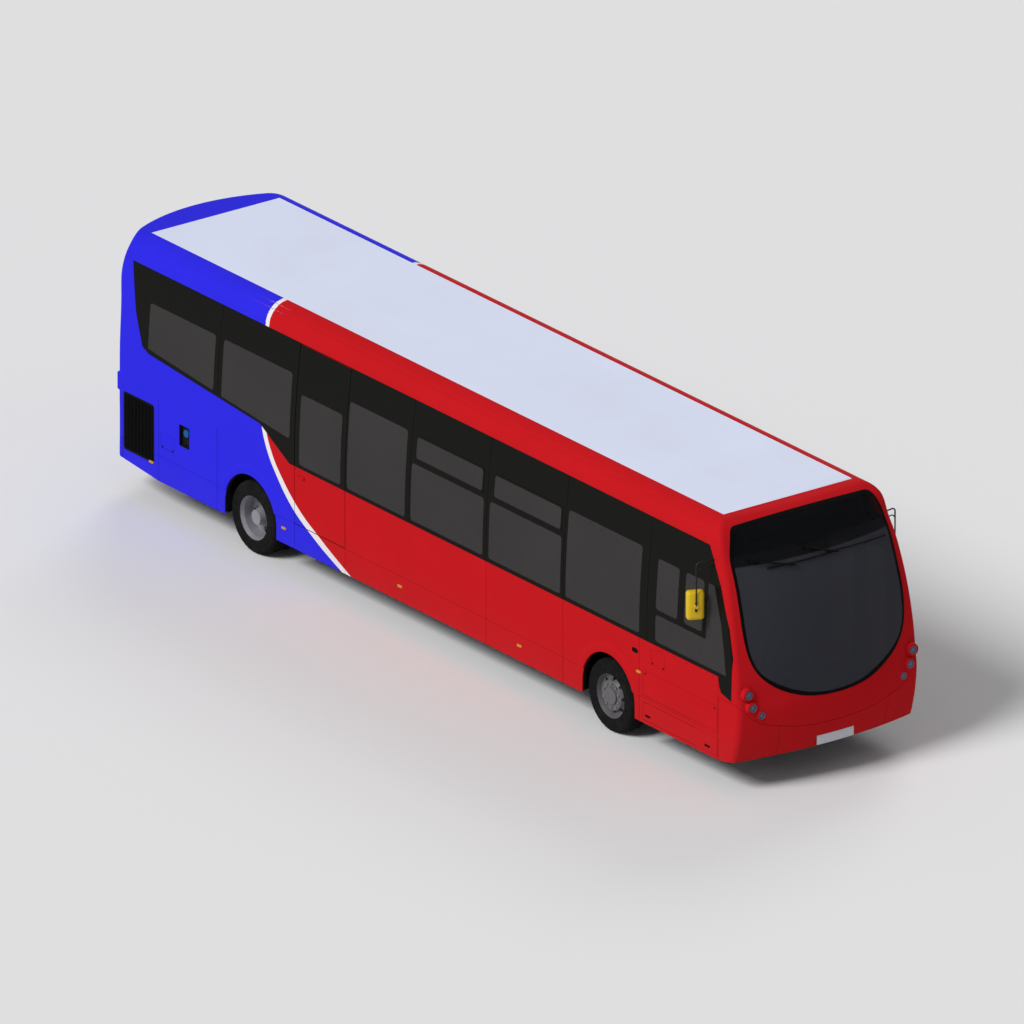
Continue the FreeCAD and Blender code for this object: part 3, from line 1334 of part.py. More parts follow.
def windscreen_wipers():
    """Two wipers: a spindle through the glass, a cranked arm, and a blade on the glass."""

    def at(place, lift):
        y, z = place
        return (skin_x(y, z) + lift, y, z)

    pieces = []
    for spindle, arm, blade_0, blade_1 in WIPERS:
        along = (arm[0] - blade_0[0]) / (blade_1[0] - blade_0[0])
        clip = (arm[0], blade_0[1] + along * (blade_1[1] - blade_0[1]))
        shares = [k / BLADE_BENDS for k in range(BLADE_BENDS + 1)]
        blade = [tuple(a + (b - a) * k for a, b in zip(blade_0, blade_1)) for k in shares]
        x = skin_x(*spindle)
        parts = [
            cylinder((HEADER_X, *spindle), (x + 50, *spindle), SPINDLE_R),
            cylinder((x + 32, *spindle), (x + 46, *spindle), SPINDLE_R + 10),
            cylinder((x + 42, *spindle), at(arm, 36), 9),
            cylinder(at(arm, 36), at(clip, BLADE_LIFT), 9),
        ]
        parts += [cylinder(at(a, BLADE_LIFT), at(b, BLADE_LIFT), 8) for a, b in zip(blade[:-1], blade[1:])]
        pieces.append(fuse(parts))
    return group(pieces)


MIRROR_X, MIRROR_Z = 5075.0, 2080.0
MIRROR_REACH = {RIGHT: 1360.0, LEFT: 1290.0}


def mirror(side):
    """A rear-view mirror hung on a bar from the windscreen pillar."""
    y = side * MIRROR_REACH[side]
    z0, z1 = MIRROR_Z - 170, MIRROR_Z + 165
    head = round_edges(box(MIRROR_X - 45, MIRROR_X + 50, y - 100, y + 100, z0, z1), 30, (1, 0, 0))
    rod_x = MIRROR_X - 26
    pieces = [
        head,
        cylinder((5125, side * 1080, 2570), (rod_x, y, 2585), 14),
        cylinder((5125, side * 1085, 2500), (rod_x, y, 2510), 10),
        cylinder((rod_x, y, 2604), (rod_x, y, MIRROR_Z), 16),
        cylinder((MIRROR_X + 45, y, MIRROR_Z), (MIRROR_X + 66, y, MIRROR_Z), 24),
    ]
    return fuse(pieces).cut(NOSE)


MARKERS = ((-4971, 506), (-2543, 503), (-429, 500), (1735, 500), (3882, 891))


def side_markers():
    """Small amber lamps along both skirts."""
    lamps = []
    for side in (RIGHT, LEFT):
        y = WIDTH / 2
        for x, z in MARKERS:
            lens = box(x - 50, x + 50, side * y, side * (y + 12), z - 20, z + 20)
            lamps.append(round_edges(lens, 8, (0, 1, 0)))
    return group(lamps)


NODES = {
    "roof_panel": roof_panel(),
    "cant_rails": group([cant_rail(RIGHT), cant_rail(LEFT)]),
    "side_frame_right": side_frame(RIGHT),
    "side_frame_left": side_frame(LEFT),
    "side_glazing": group(side_glazing(RIGHT) + side_glazing(LEFT)),
    "side_panels_right": side_panels(RIGHT),
    "side_panels_left": side_panels(LEFT),
    "front_moulding": front_moulding(),
    "front_bumper": front_bumper(),
    "windscreen": windscreen(),
    "windscreen_seal": windscreen_seal(),
    "front_lamps": front_lamps(),
    "windscreen_wipers": windscreen_wipers(),
    "mirrors": group([mirror(RIGHT), mirror(LEFT)]),
    "rear_moulding": rear_moulding(),
    "rear_bumper": rear_bumper(),
    "rear_window": rear_window(),
    "rear_lamps": rear_lamps(),
    "radiator_grille": radiator_grille(),
    "filler_cap": filler_cap(),
    "side_markers": side_markers(),
    "saloon_floor": saloon_floor(),
    "wheel_boxes": wheel_boxes(),
    "chassis_rails": chassis_rails(),
    "cross_members": cross_members(),
    "front_axle_beam": front_axle(),
    "rear_axle": rear_axle(),
    "engine_block": engine_block(),
    "passenger_seats": passenger_seats(),
    "stanchions": stanchions(),
    "destination_box": destination_box(),
    "driver_seat": driver_seat(),
    "dashboard": dashboard(),
    "cab_platform": cab_platform(),
    "cab_screen": cab_screen(),
    "cab_door": cab_door(),
    "door_portal": door_portal(),
    "door_post_front": door_post(True),
    "door_post_rear": door_post(False),
    "door_leaf_front": door_leaf(True),
    "door_leaf_rear": door_leaf(False),
    "door_glass_front": door_glass(True),
    "door_glass_rear": door_glass(False),
    "emergency_door": exit_door(),
    "emergency_glass": exit_glass(),
    "engine_cover": engine_cover(),
    "knuckle_right": knuckle(RIGHT),
    "knuckle_left": knuckle(LEFT),
    "track_rod": track_rod(),
    "rim_front_right": front_rim(RIGHT),
    "rim_front_left": front_rim(LEFT),
    "rim_rear_right": twin_rims(RIGHT),
    "rim_rear_left": twin_rims(LEFT),
    "tyre_front_right": tyre(FRONT_AXLE_X, RIGHT, TYRE_OUT_Y),
    "tyre_front_left": tyre(FRONT_AXLE_X, LEFT, TYRE_OUT_Y),
    "tyres_rear_right": group(tyre(REAR_AXLE_X, RIGHT, y) for y in TWIN_OUT_YS),
    "tyres_rear_left": group(tyre(REAR_AXLE_X, LEFT, y) for y in TWIN_OUT_YS),
}

os.makedirs("parts", exist_ok=True)
for name, shape in NODES.items():
    shape.exportStep(os.path.join("parts", name + ".step"))
    state = "ok" if shape.isValid() else "BAD"
    print(f"{name:22s} {state} {len(shape.Solids):3d} solids {shape.Volume / 1e9:8.4f} m3")
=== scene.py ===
import math

import bmesh
import bpy
from mathutils import Matrix, Vector


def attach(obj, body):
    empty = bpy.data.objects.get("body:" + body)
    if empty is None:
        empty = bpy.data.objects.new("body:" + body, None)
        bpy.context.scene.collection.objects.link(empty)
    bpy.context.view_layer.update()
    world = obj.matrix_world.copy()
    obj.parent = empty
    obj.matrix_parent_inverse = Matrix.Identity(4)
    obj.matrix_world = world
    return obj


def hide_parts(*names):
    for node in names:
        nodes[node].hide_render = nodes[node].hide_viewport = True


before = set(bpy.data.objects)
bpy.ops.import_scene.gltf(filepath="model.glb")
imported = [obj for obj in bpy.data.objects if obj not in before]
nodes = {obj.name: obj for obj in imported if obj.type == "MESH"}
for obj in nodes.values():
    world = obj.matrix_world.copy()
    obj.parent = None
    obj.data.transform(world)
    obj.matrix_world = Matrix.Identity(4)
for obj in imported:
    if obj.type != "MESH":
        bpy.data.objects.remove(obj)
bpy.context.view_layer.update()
scene = bpy.context.scene

# Studio: a wide pale floor, an even pale surround and two soft lamps high on either side.
# The camera stands far off with a long lens, so that edges stay parallel as in the picture,
# and looks at the driver's side of the bus from ahead and a little above.
AZIMUTH = math.radians(53.164)
ELEVATION = math.radians(21.769)
FRAME_WIDTH = 11.130
LENS_MM = 1700.0
SENSOR_MM = 36.0
AIM_RIGHT = -0.0164
AIM_UP = 1.1264
FLOOR_HALF = 150.0
FLOOR_GREY = (0.78, 0.78, 0.79, 1)
SURROUND = 0.25
SURROUND_SEEN = 0.76
LAMP_SPREAD = 24
# Name, strength and the direction that the light comes from
LAMPS_ABOVE = (("key", 2.55, (0.0, -0.72, 0.69)), ("fill", 0.6, (-0.50, 0.62, 0.60)))

view_right = Vector((math.cos(AZIMUTH), math.sin(AZIMUTH), 0.0))
level = math.cos(ELEVATION)
view_back = Vector((math.sin(AZIMUTH) * level, -math.cos(AZIMUTH) * level, math.sin(ELEVATION)))
view_up = view_back.cross(view_right)
distance = FRAME_WIDTH * LENS_MM / SENSOR_MM
camera_data = bpy.data.cameras.new("camera")
camera_data.lens = LENS_MM
camera_data.sensor_width = SENSOR_MM
camera_data.clip_start = 1.0
camera_data.clip_end = distance * 2
camera = bpy.data.objects.new("camera", camera_data)
scene.collection.objects.link(camera)
turn = Matrix((view_right, view_up, view_back)).transposed()
camera.matrix_world = turn.to_4x4()
camera.location = view_right * AIM_RIGHT + view_up * AIM_UP + view_back * distance
scene.camera = camera

for lamp_name, strength, source in LAMPS_ABOVE:
    lamp_data = bpy.data.lights.new(lamp_name, "SUN")
    lamp_data.energy = strength
    lamp_data.angle = math.radians(LAMP_SPREAD)
    lamp = bpy.data.objects.new(lamp_name, lamp_data)
    lamp.rotation_euler = Vector(source).to_track_quat("Z", "Y").to_euler()
    scene.collection.objects.link(lamp)


def add_node(tree, kind, settings=None, **sockets):
    """A shader node with its settings and with values, or other nodes' outputs, at its sockets."""
    node = tree.nodes.new(kind)
    for name, value in (settings or {}).items():
        setattr(node, name, value)
    for name, value in sockets.items():
        socket = node.inputs[int(name[1:])] if name[0] == "n" else node.inputs[name.replace("_", " ")]
        if isinstance(value, bpy.types.NodeSocket):
            tree.links.new(value, socket)
        else:
            socket.default_value = value
    return node


def maths(tree, operation, *values):
    """The result of one sum on numbers or sockets."""
    sockets = {f"n{i}": value for i, value in enumerate(values)}
    return add_node(tree, "ShaderNodeMath", {"operation": operation}, **sockets).outputs[0]


world = bpy.data.worlds.new("studio")
scene.world = world
world.use_nodes = True
sky = world.node_tree
ray = add_node(sky, "ShaderNodeLightPath").outputs
seen = maths(sky, "MAXIMUM", ray["Is Camera Ray"], ray["Is Glossy Ray"])
seen = maths(sky, "MAXIMUM", seen, ray["Is Transmission Ray"])
light = maths(sky, "MULTIPLY_ADD", seen, SURROUND_SEEN - SURROUND, SURROUND)
sky.nodes["Background"].inputs["Color"].default_value = (1, 1, 1, 1)
sky.links.new(light, sky.nodes["Background"].inputs["Strength"])
scene.view_settings.view_transform = "Standard"

corners = [(x * FLOOR_HALF, y * FLOOR_HALF, 0) for x, y in ((-1, -1), (1, -1), (1, 1), (-1, 1))]
floor_mesh = bpy.data.meshes.new("studio_floor")
floor_mesh.from_pydata(corners, [], [(0, 1, 2, 3)])
floor_paint = bpy.data.materials.new("studio_floor")
floor_paint.use_nodes = True
floor_shader = floor_paint.node_tree.nodes["Principled BSDF"]
floor_shader.inputs["Base Color"].default_value = FLOOR_GREY
floor_shader.inputs["Roughness"].default_value = 0.9
floor_mesh.materials.append(floor_paint)
studio_floor = bpy.data.objects.new("studio_floor", floor_mesh)
scene.collection.objects.link(studio_floor)


# Chassis: two welded box rails, cross tubes, a dropped front beam and a driven rear axle.
# The frame is steel in black paint that has chipped at its edges, the axles and the knuckles
# are rough castings, and the engine with its gearbox sits across the rails at the back.
STEEL_DARK = (30, 30, 30)
CAST_GREY = (70, 70, 70)
ENGINE_GREY = (84, 86, 88)
GRAIN_STRENGTH = 0.35


def tone(colour):
    """A screen colour from 0 to 255 as light, with alpha."""
    parts = [c / 255 for c in colour]
    return tuple(c / 12.92 if c <= 0.04045 else ((c + 0.055) / 1.055) ** 2.4 for c in parts) + (1.0,)


def new_finish(name, roughness, metallic=0.0, specular=0.3):
    """A material with its shader, and the place on the bus as it stands at rest."""
    material = bpy.data.materials.new(name)
    material.use_nodes = True
    tree = material.node_tree
    shader = tree.nodes["Principled BSDF"]
    shader.inputs["Roughness"].default_value = roughness
    shader.inputs["Metallic"].default_value = metallic
    shader.inputs["Specular IOR Level"].default_value = specular
    place = add_node(tree, "ShaderNodeTexCoord").outputs["Object"]
    return material, tree, shader, place


def noise(tree, place, scale, detail=3.0):
    """Cloudy values from 0 to 1 over the surface."""
    sockets = {"Vector": place, "Scale": scale, "Detail": detail}
    return add_node(tree, "ShaderNodeTexNoise", **sockets).outputs["Fac"]


def between(tree, value, low, high, start=0.0, end=1.0):
    """A value taken from one range to another, held at its ends."""
    sockets = {"Value": value, "From_Min": start, "From_Max": end, "To_Min": low, "To_Max": high}
    return add_node(tree, "ShaderNodeMapRange", **sockets).outputs["Result"]


def blend_colours(tree, share, first, second):
    """Two colours mixed by a share from 0 to 1."""
    node = add_node(tree, "ShaderNodeMix", {"data_type": "RGBA"}, n0=share, n6=first, n7=second)
    return node.outputs[2]


def lay_over(tree, shader, share, under, colour):
    """Puts a colour over another one on the shader, by a share from 0 to 1."""
    tree.links.new(blend_colours(tree, share, under, colour), shader.inputs["Base Color"])


def lift_surface(tree, shader, height, strength, depth):
    """Gives the surface a relief that is too fine for the mesh."""
    bump = add_node(tree, "ShaderNodeBump", Strength=strength, Distance=depth, Height=height)
    tree.links.new(bump.outputs["Normal"], shader.inputs["Normal"])


def clouded(tree, place, colour, scale, spread, start=0.25):
    """A colour that grows lighter and darker in clouds."""
    value = between(tree, noise(tree, place, scale), 1 - spread, 1 + spread, start, 1 - start)
    return add_node(tree, "ShaderNodeHueSaturation", Value=value, Color=colour).outputs["Color"]


def uneven(tree, shader, place, colour, scale, spread, rough, grain, depth):
    """Cloudy colour and gloss, and a fine grain that lifts the surface."""
    shaded = clouded(tree, place, colour, scale, spread)
    tree.links.new(shaded, shader.inputs["Base Color"])
    gloss = between(tree, noise(tree, place, scale * 2.7), rough[0], rough[1], 0.3, 0.7)
    tree.links.new(gloss, shader.inputs["Roughness"])
    lift_surface(tree, shader, noise(tree, place, grain, 2.0), GRAIN_STRENGTH, depth)
    return shaded


def vector_maths(tree, operation, *values):
    """The result of one sum on vectors: a number for a length or a dot product."""
    sockets = {f"n{i}": value for i, value in enumerate(values)}
    node = add_node(tree, "ShaderNodeVectorMath", {"operation": operation}, **sockets)
    return node.outputs[1 if operation in ("LENGTH", "DOT_PRODUCT") else 0]


def worn_edge(tree, shader, shaded, bare, reach, strength=0.8):
    """Lays a bare colour along sharp edges, over what is on the shader."""
    soft = add_node(tree, "ShaderNodeBevel", {"samples": 4}, Radius=reach).outputs[0]
    true = add_node(tree, "ShaderNodeNewGeometry").outputs["Normal"]
    match = vector_maths(tree, "DOT_PRODUCT", soft, true)
    lay_over(tree, shader, between(tree, match, strength, 0.0, 0.75, 0.99), shaded, bare)


def coated(name, colour, clouds, rough, grain, worn=None, metallic=0.0, specular=0.3):
    """A finish in one colour. clouds holds their scale and spread, rough the plain, lowest and
    highest roughness, grain its scale and depth, and worn the bare colour, reach and strength."""
    material, tree, shader, place = new_finish(name, rough[0], metallic, specular)
    shaded = uneven(tree, shader, place, tone(colour), *clouds, rough[1:], *grain)
    if worn:
        worn_edge(tree, shader, shaded, tone(worn[0]), *worn[1:])
    return material


def dress(finish, *names):
    """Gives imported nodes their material."""
    for name in names:
        mesh = nodes[name].data
        for i in range(len(mesh.materials)):
            mesh.materials[i] = finish
        if not mesh.materials:
            mesh.materials.append(finish)


frame_steel = coated("frame_steel", STEEL_DARK, clouds=(6.0, 0.25), rough=(0.5, 0.4, 0.65),
                     grain=(220.0, 0.001), worn=((96, 92, 88), 0.004))
dress(frame_steel, "chassis_rails", "cross_members")
casting = coated("casting", CAST_GREY, clouds=(9.0, 0.2), rough=(0.6, 0.5, 0.75),
                 grain=(160.0, 0.002), worn=((130, 128, 124), 0.004), metallic=0.4)
dress(casting, "front_axle_beam", "rear_axle", "knuckle_right", "knuckle_left", "track_rod")
engine_metal = coated("engine_metal", ENGINE_GREY, clouds=(5.0, 0.3), rough=(0.5, 0.4, 0.7),
                      grain=(90.0, 0.003), worn=((150, 150, 150), 0.006), metallic=0.5)
dress(engine_metal, "engine_block")


# Wheels: pressed steel rims in grey paint, deep at the rear where two stand back to back, each
# held by a ring of ten nuts. The tyres are moulded rubber, with four grooves round the tread,
# cuts across the round shoulders, ribs on the wall and a soft lip over the edge of the rim.
AXLE_Z = 0.419
TYRE_OUT_Y = 1.190
TYRE_W = 0.245
TWIN_PITCH = 0.275
FRONT_X, REAR_X = 3.325, -3.150
NUTS = 10
NUT_FLATS, WASHER_SIDES, STUD_SIDES = 6, 16, 10
NUT_R, WASHER_R, STUD_R = 0.0140, 0.0165, 0.0075
NUT_SINK = 0.001
# The washer's share of the whole height, then the nut's share of what is left
WASHER_SHARE, NUT_SHARE = 0.22, 0.8
VALVE_AHEAD, VALVE_UP, VALVE_R = 0.244, 0.02, 0.005
VALVE_ROOT, VALVE_TIP = 0.062, 0.020
TREAD_STEPS = 216
CUT_EVERY, CUT_LONG, CUT_DEEP = 6, 2, 0.007
# From the bead to the shoulder: place in from the outer wall, and radius
TYRE_WALL = (
    (0.026, 0.2625),
    (0.022, 0.2735),
    (0.0085, 0.2735),
    (0.0090, 0.2520),
    (0.0070, 0.2508),
    (0.0045, 0.2535),
    (0.0030, 0.268),
    (0.0045, 0.283),
    (0.003, 0.310),
    (0.0005, 0.335),
    (0.0005, 0.341),
    (0.003, 0.344),
    (0.005, 0.368),
    (0.003, 0.372),
    (0.009, 0.390),
    (0.018, 0.404),
    (0.030, 0.412),
)
TREAD_GROOVES = (0.058, 0.100, 0.145, 0.187)
GROOVE_HALF, GROOVE_DEEP = 0.005, 0.013
CROWN_R = 0.4188
RUBBER = (20, 20, 20)
DUST = (96, 90, 82)


def join_into(mesh, part):
    """Adds one bmesh to another."""
    passing = bpy.data.meshes.new("passing")
    part.to_mesh(passing)
    part.free()
    mesh.from_mesh(passing)
    bpy.data.meshes.remove(passing)


def add_rings(mesh, rings, closed_round=True, capped=False, loop=False):
    """Skins a run of point rings."""
    rows = [[mesh.verts.new(point) for point in ring] for ring in rings]
    pairs = list(zip(rows[:-1], rows[1:]))
    if loop:
        pairs.append((rows[-1], rows[0]))
    count = len(rows[0])
    for low, high in pairs:
        for j in range(count if closed_round else count - 1):
            k = (j + 1) % count
            mesh.faces.new((low[j], low[k], high[k], high[j]))
    if capped:
        mesh.faces.new(rows[0][::-1])
        mesh.faces.new(rows[-1])


def add_piece(name, mesh, body, finish, smooth=40.0):
    """Turns a bmesh into a piece that rides on a body; edges sharper than smooth degrees stay crisp."""
    bmesh.ops.recalc_face_normals(mesh, faces=mesh.faces[:])
    data = bpy.data.meshes.new(name)
    mesh.to_mesh(data)
    mesh.free()
    data.materials.append(finish)
    if smooth:
        data.polygons.foreach_set("use_smooth", [True] * len(data.polygons))
        data.set_sharp_from_angle(angle=math.radians(smooth))
    piece = bpy.data.objects.new(name, data)
    scene.collection.objects.link(piece)
    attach(piece, body)
    return piece


def tyre_section():
    """The tyre's section from one bead over the tread to the other: (place across, radius)."""
    tread = []
    for middle in TREAD_GROOVES:
        for step, drop in ((-1.4, 0), (-1, GROOVE_DEEP), (1, GROOVE_DEEP), (1.4, 0)):
            tread.append((middle + step * GROOVE_HALF, CROWN_R - drop))
    far_wall = [(TYRE_W - a, r) for a, r in reversed(TYRE_WALL)]
    return list(TYRE_WALL) + tread + far_wall


def add_tyre(mesh, x, side, out_y):
    """One tyre: its section turned about the axle, with cuts across both shoulders."""
    section = tyre_section()
    shoulders = {len(TYRE_WALL) - 2, len(TYRE_WALL) - 1, len(section) - len(TYRE_WALL)}
    shoulders.add(len(section) - len(TYRE_WALL) + 1)
    rings = []
    for i in range(TREAD_STEPS):
        angle = 2 * math.pi * i / TREAD_STEPS
        ring = []
        for j, (a, r) in enumerate(section):
            if j in shoulders and i % CUT_EVERY < CUT_LONG:
                r -= CUT_DEEP
            spot = (x + r * math.cos(angle), side * (out_y - a), AXLE_Z + r * math.sin(angle))
            ring.append(spot)
        rings.append(ring)
    add_rings(mesh, rings, loop=True)


def add_prism(mesh, centre, radius, start_y, end_y, sides, turned=0.0, taper=1.0):
    """A prism along the axle's direction, from one width place to another."""
    rings = []
    for y, r in ((start_y, radius), (end_y, radius * taper)):
        turns = [turned + 2 * math.pi * i / sides for i in range(sides)]
        rings.append([(centre[0] + r * math.cos(t), y, centre[1] + r * math.sin(t)) for t in turns])
    add_rings(mesh, rings, capped=True)


rubber, tree, shader, place = new_finish("tyre_rubber", 0.85, specular=0.06)
shaded = uneven(tree, shader, place, tone(RUBBER), 7.0, 0.2, (0.75, 0.95), 260.0, 0.0008)
dust = between(tree, noise(tree, place, 14.0, 5.0), 0.0, 0.05, 0.45, 0.8)
lay_over(tree, shader, dust, shaded, tone(DUST))

# All rims carry one grey paint. The rear grey is lighter as painted light, to cancel the shade that falls
# on the rear wheels, and the front grey a little darker as painted shade, to cancel the brighter light on
# the front ones.
RIM_GREYS_PAINTED_LIGHT = (("front", (95, 94, 98)), ("rear", (140, 140, 146)))
for axle, grey in RIM_GREYS_PAINTED_LIGHT:
    rim_paint_with_painted_light = coated("rim_paint_with_painted_light_" + axle, grey, clouds=(8.0, 0.12), rough=(0.45, 0.35, 0.55),
                       grain=(240.0, 0.0006), worn=([part + 50 for part in grey], 0.003),
                       metallic=0.25, specular=0.4)
    dress(rim_paint_with_painted_light, f"rim_{axle}_right", f"rim_{axle}_left")
nut_steel = coated("nut_steel", (140, 138, 134), clouds=(30.0, 0.2), rough=(0.4, 0.3, 0.55),
                   grain=(300.0, 0.0004), worn=((190, 188, 184), 0.002), metallic=0.8)

# Body, tyre node, axle x, side, number of tyres, nut circle, and how far the foot and the face
# of a nut lie behind the outer wall of the tyre
WHEELS = (
    ("wheel_front_right", "tyre_front_right", FRONT_X, -1, 1, 0.1375, 0.024, 0.004),
    ("wheel_front_left", "tyre_front_left", FRONT_X, 1, 1, 0.1375, 0.024, 0.004),
    ("wheels_rear_right", "tyres_rear_right", REAR_X, -1, 2, 0.1530, 0.176, 0.152),
    ("wheels_rear_left", "tyres_rear_left", REAR_X, 1, 2, 0.1530, 0.176, 0.152),
)
for body, tyre_node, axle_x, side, count, circle, foot, face in WHEELS:
    mesh = bmesh.new()
    for i in range(count):
        add_tyre(mesh, axle_x, side, TYRE_OUT_Y - i * TWIN_PITCH)
    treaded = add_piece(tyre_node + "_treaded", mesh, body, rubber, smooth=32.0)
    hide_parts(tyre_node)

    mesh = bmesh.new()
    for i in range(NUTS):
        angle = 2 * math.pi * (i + 0.5) / NUTS
        spot = (axle_x + circle * math.cos(angle), AXLE_Z + circle * math.sin(angle))
        start, end = side * (TYRE_OUT_Y - foot - NUT_SINK), side * (TYRE_OUT_Y - face)
        washer = start + (end - start) * WASHER_SHARE
        nut = washer + (end - washer) * NUT_SHARE
        add_prism(mesh, spot, WASHER_R, start, washer, WASHER_SIDES)
        add_prism(mesh, spot, NUT_R, washer, nut, NUT_FLATS, angle)
        add_prism(mesh, spot, STUD_R, nut, end, STUD_SIDES, taper=0.8)
    valve = (axle_x + VALVE_AHEAD, AXLE_Z + VALVE_UP)
    root, tip = side * (TYRE_OUT_Y - VALVE_ROOT), side * (TYRE_OUT_Y - VALVE_TIP)
    add_prism(mesh, valve, VALVE_R, root, tip, STUD_SIDES)
    add_piece(body + "_nuts", mesh, body, nut_steel, smooth=30.0)


# Side walls: welded posts and rails sprayed black, behind bonded aluminium skins with wheel-arch
# rims. The skins and the moulded front and rear ends carry one glossy paint, red ahead of a white
# stripe and blue behind it, and are lined inside with dark laminate.
RED = (189, 26, 32)
BLUE = (47, 43, 220)
STRIPE_WHITE = (230, 224, 224)
LINING_GREY = (22, 22, 24)
ROAD_FILM = (92, 84, 76)
FILM_SHARE, FILM_Z = 0.10, (0.33, 0.85)
SOFT_IOR = 1.2
# A face looks inwards where it points back to the middle line, or at an end to the middle
END_CAP_X, MIDDLE_Z, INWARD = 4.9, 1.4, -0.4
STRIPE_LOW_Z, STRIPE_TOP_Z = 0.3, 3.0
STRIPE_BACK_X, STRIPE_AHEAD_X = -3.0, -1.3
# Height, then where the stripe starts and ends along the bus
STRIPE = (
    (0.345, -1.530, -1.362),
    (0.620, -2.116, -1.934),
    (0.820, -2.425, -2.280),
    (1.100, -2.695, -2.592),
    (1.300, -2.838, -2.752),
    (1.580, -2.954, -2.878),
    (1.800, -2.990, -2.910),
    (2.600, -3.015, -2.935),
    (2.970, -3.015, -2.935),
)


def stripe_edge(tree, height, column):
    """How far along the bus one edge of the stripe is at a height."""
    curve = add_node(tree, "ShaderNodeFloatCurve")
    share = between(tree, height, 0.0, 1.0, STRIPE_LOW_Z, STRIPE_TOP_Z)
    tree.links.new(share, curve.inputs["Value"])
    line = curve.mapping.curves[0]
    length = STRIPE_AHEAD_X - STRIPE_BACK_X
    spots = [
        ((row[0] - STRIPE_LOW_Z) / (STRIPE_TOP_Z - STRIPE_LOW_Z), (row[column] - STRIPE_BACK_X) / length)
        for row in STRIPE
    ]
    line.points[0].location = spots[0]
    line.points[1].location = spots[-1]
    for spot in spots[1:-1]:
        line.points.new(*spot)
    curve.mapping.update()
    return between(tree, curve.outputs["Value"], STRIPE_BACK_X, STRIPE_AHEAD_X)


body_paint, tree, shader, place = new_finish("body_paint", 0.3, specular=0.015)
shader.inputs["IOR"].default_value = SOFT_IOR
axes = add_node(tree, "ShaderNodeSeparateXYZ", Vector=place).outputs
behind = maths(tree, "LESS_THAN", axes["X"], stripe_edge(tree, axes["Z"], 1))
ahead = maths(tree, "GREATER_THAN", axes["X"], stripe_edge(tree, axes["Z"], 2))
livery = blend_colours(tree, behind, tone(STRIPE_WHITE), tone(BLUE))
livery = blend_colours(tree, ahead, livery, tone(RED))
shaded = uneven(tree, shader, place, livery, 1.6, 0.03, (0.26, 0.36), 420.0, 0.0001)
road_film = between(tree, axes["Z"], FILM_SHARE, 0.0, *FILM_Z)
patchy = maths(tree, "MULTIPLY", road_film, noise(tree, place, 5.0, 5.0))
filmed = blend_colours(tree, patchy, shaded, tone(ROAD_FILM))
near_end = maths(tree, "GREATER_THAN", maths(tree, "ABSOLUTE", axes["X"]), END_CAP_X)
along = maths(tree, "MULTIPLY", axes["X"], near_end)
above_middle = maths(tree, "SUBTRACT", axes["Z"], MIDDLE_Z)
outward = add_node(tree, "ShaderNodeCombineXYZ", X=along, Y=axes["Y"], Z=above_middle).outputs[0]
facing = add_node(tree, "ShaderNodeTexCoord").outputs["Normal"]
facing = vector_maths(tree, "DOT_PRODUCT", vector_maths(tree, "NORMALIZE", outward), facing)
lay_over(tree, shader, maths(tree, "LESS_THAN", facing, INWARD), filmed, tone(LINING_GREY))
dress(body_paint, "side_panels_right", "side_panels_left", "cant_rails", "front_moulding")
dress(body_paint, "front_bumper", "rear_moulding", "rear_bumper", "engine_cover")

frame_black = coated("frame_black", (26, 26, 23), clouds=(3.0, 0.1), rough=(0.5, 0.45, 0.6),
                     grain=(300.0, 0.0002), specular=0.03)
dress(frame_black, "side_frame_right", "side_frame_left")


# Side windows: bonded panes of tinted glass laid over the frame from the waist to the gutter.
# Each is printed solid black round a clear field, and two have a slim framed vent in their top.
# The emergency door wears a pane of its own.
FIELD_CORNER_R = 0.04
GLASS_GREY = (60, 58, 58)
PRINT_BLACK = (20, 20, 17)
GLASS_COVER = 0.86
# The rear end of each clear field, its front end, the sill at each of them, and the top
CLEAR_FIELDS = (
    (-5.045, -3.845, 1.810, 1.700, 2.340),
    (-3.695, -2.445, 1.680, 1.580, 2.340),
    (-2.265, -1.515, 1.335, 1.335, 2.340),
    (-1.395, -0.345, 1.335, 1.335, 2.340),
    (-0.240, 1.065, 1.340, 1.340, 2.000),
    (1.175, 2.465, 1.340, 1.340, 2.000),
    (2.565, 3.885, 1.340, 1.340, 2.340),
    (-0.175, 1.025, 2.070, 2.070, 2.320),
    (1.235, 2.435, 2.070, 2.070, 2.320),
    (4.175, 4.555, 1.710, 1.710, 2.290),
    (4.675, 5.000, 1.710, 1.710, 2.290),
    (4.175, 5.120, 1.340, 1.340, 1.650),
)
DOOR_FIELD = (-2.265, -1.515, 1.335, 1.335, 2.150)
# The quarter glass ahead of the cab window leans with the front pillar, in points up its edge
QUARTER_EDGE = ((5.440, 1.340), (5.400, 1.600), (5.330, 1.900), (5.190, 2.250))
QUARTER_REAR, QUARTER_SILL, QUARTER_TOP = 5.070, 1.340, 2.290


def in_field(tree, flat, axes, field):
    """1 inside a window's clear field, which has round corners, and 0 outside it."""
    x0, x1, sill0, sill1, top = field
    low = min(sill0, sill1)
    middle = ((x0 + x1) / 2, 0.0, (low + top) / 2)
    reach = ((x1 - x0) / 2 - FIELD_CORNER_R, 0.0, (top - low) / 2 - FIELD_CORNER_R)
    away = vector_maths(tree, "ABSOLUTE", vector_maths(tree, "SUBTRACT", flat, middle))
    beyond = vector_maths(tree, "MAXIMUM", vector_maths(tree, "SUBTRACT", away, reach), (0.0, 0.0, 0.0))
    inside = maths(tree, "LESS_THAN", vector_maths(tree, "LENGTH", beyond), FIELD_CORNER_R)
    if sill0 != sill1:
        slope = (sill1 - sill0) / (x1 - x0)
        sill = maths(tree, "MULTIPLY_ADD", axes["X"], slope, sill0 - slope * x0)
        inside = maths(tree, "MULTIPLY", inside, maths(tree, "GREATER_THAN", axes["Z"], sill))
    return inside


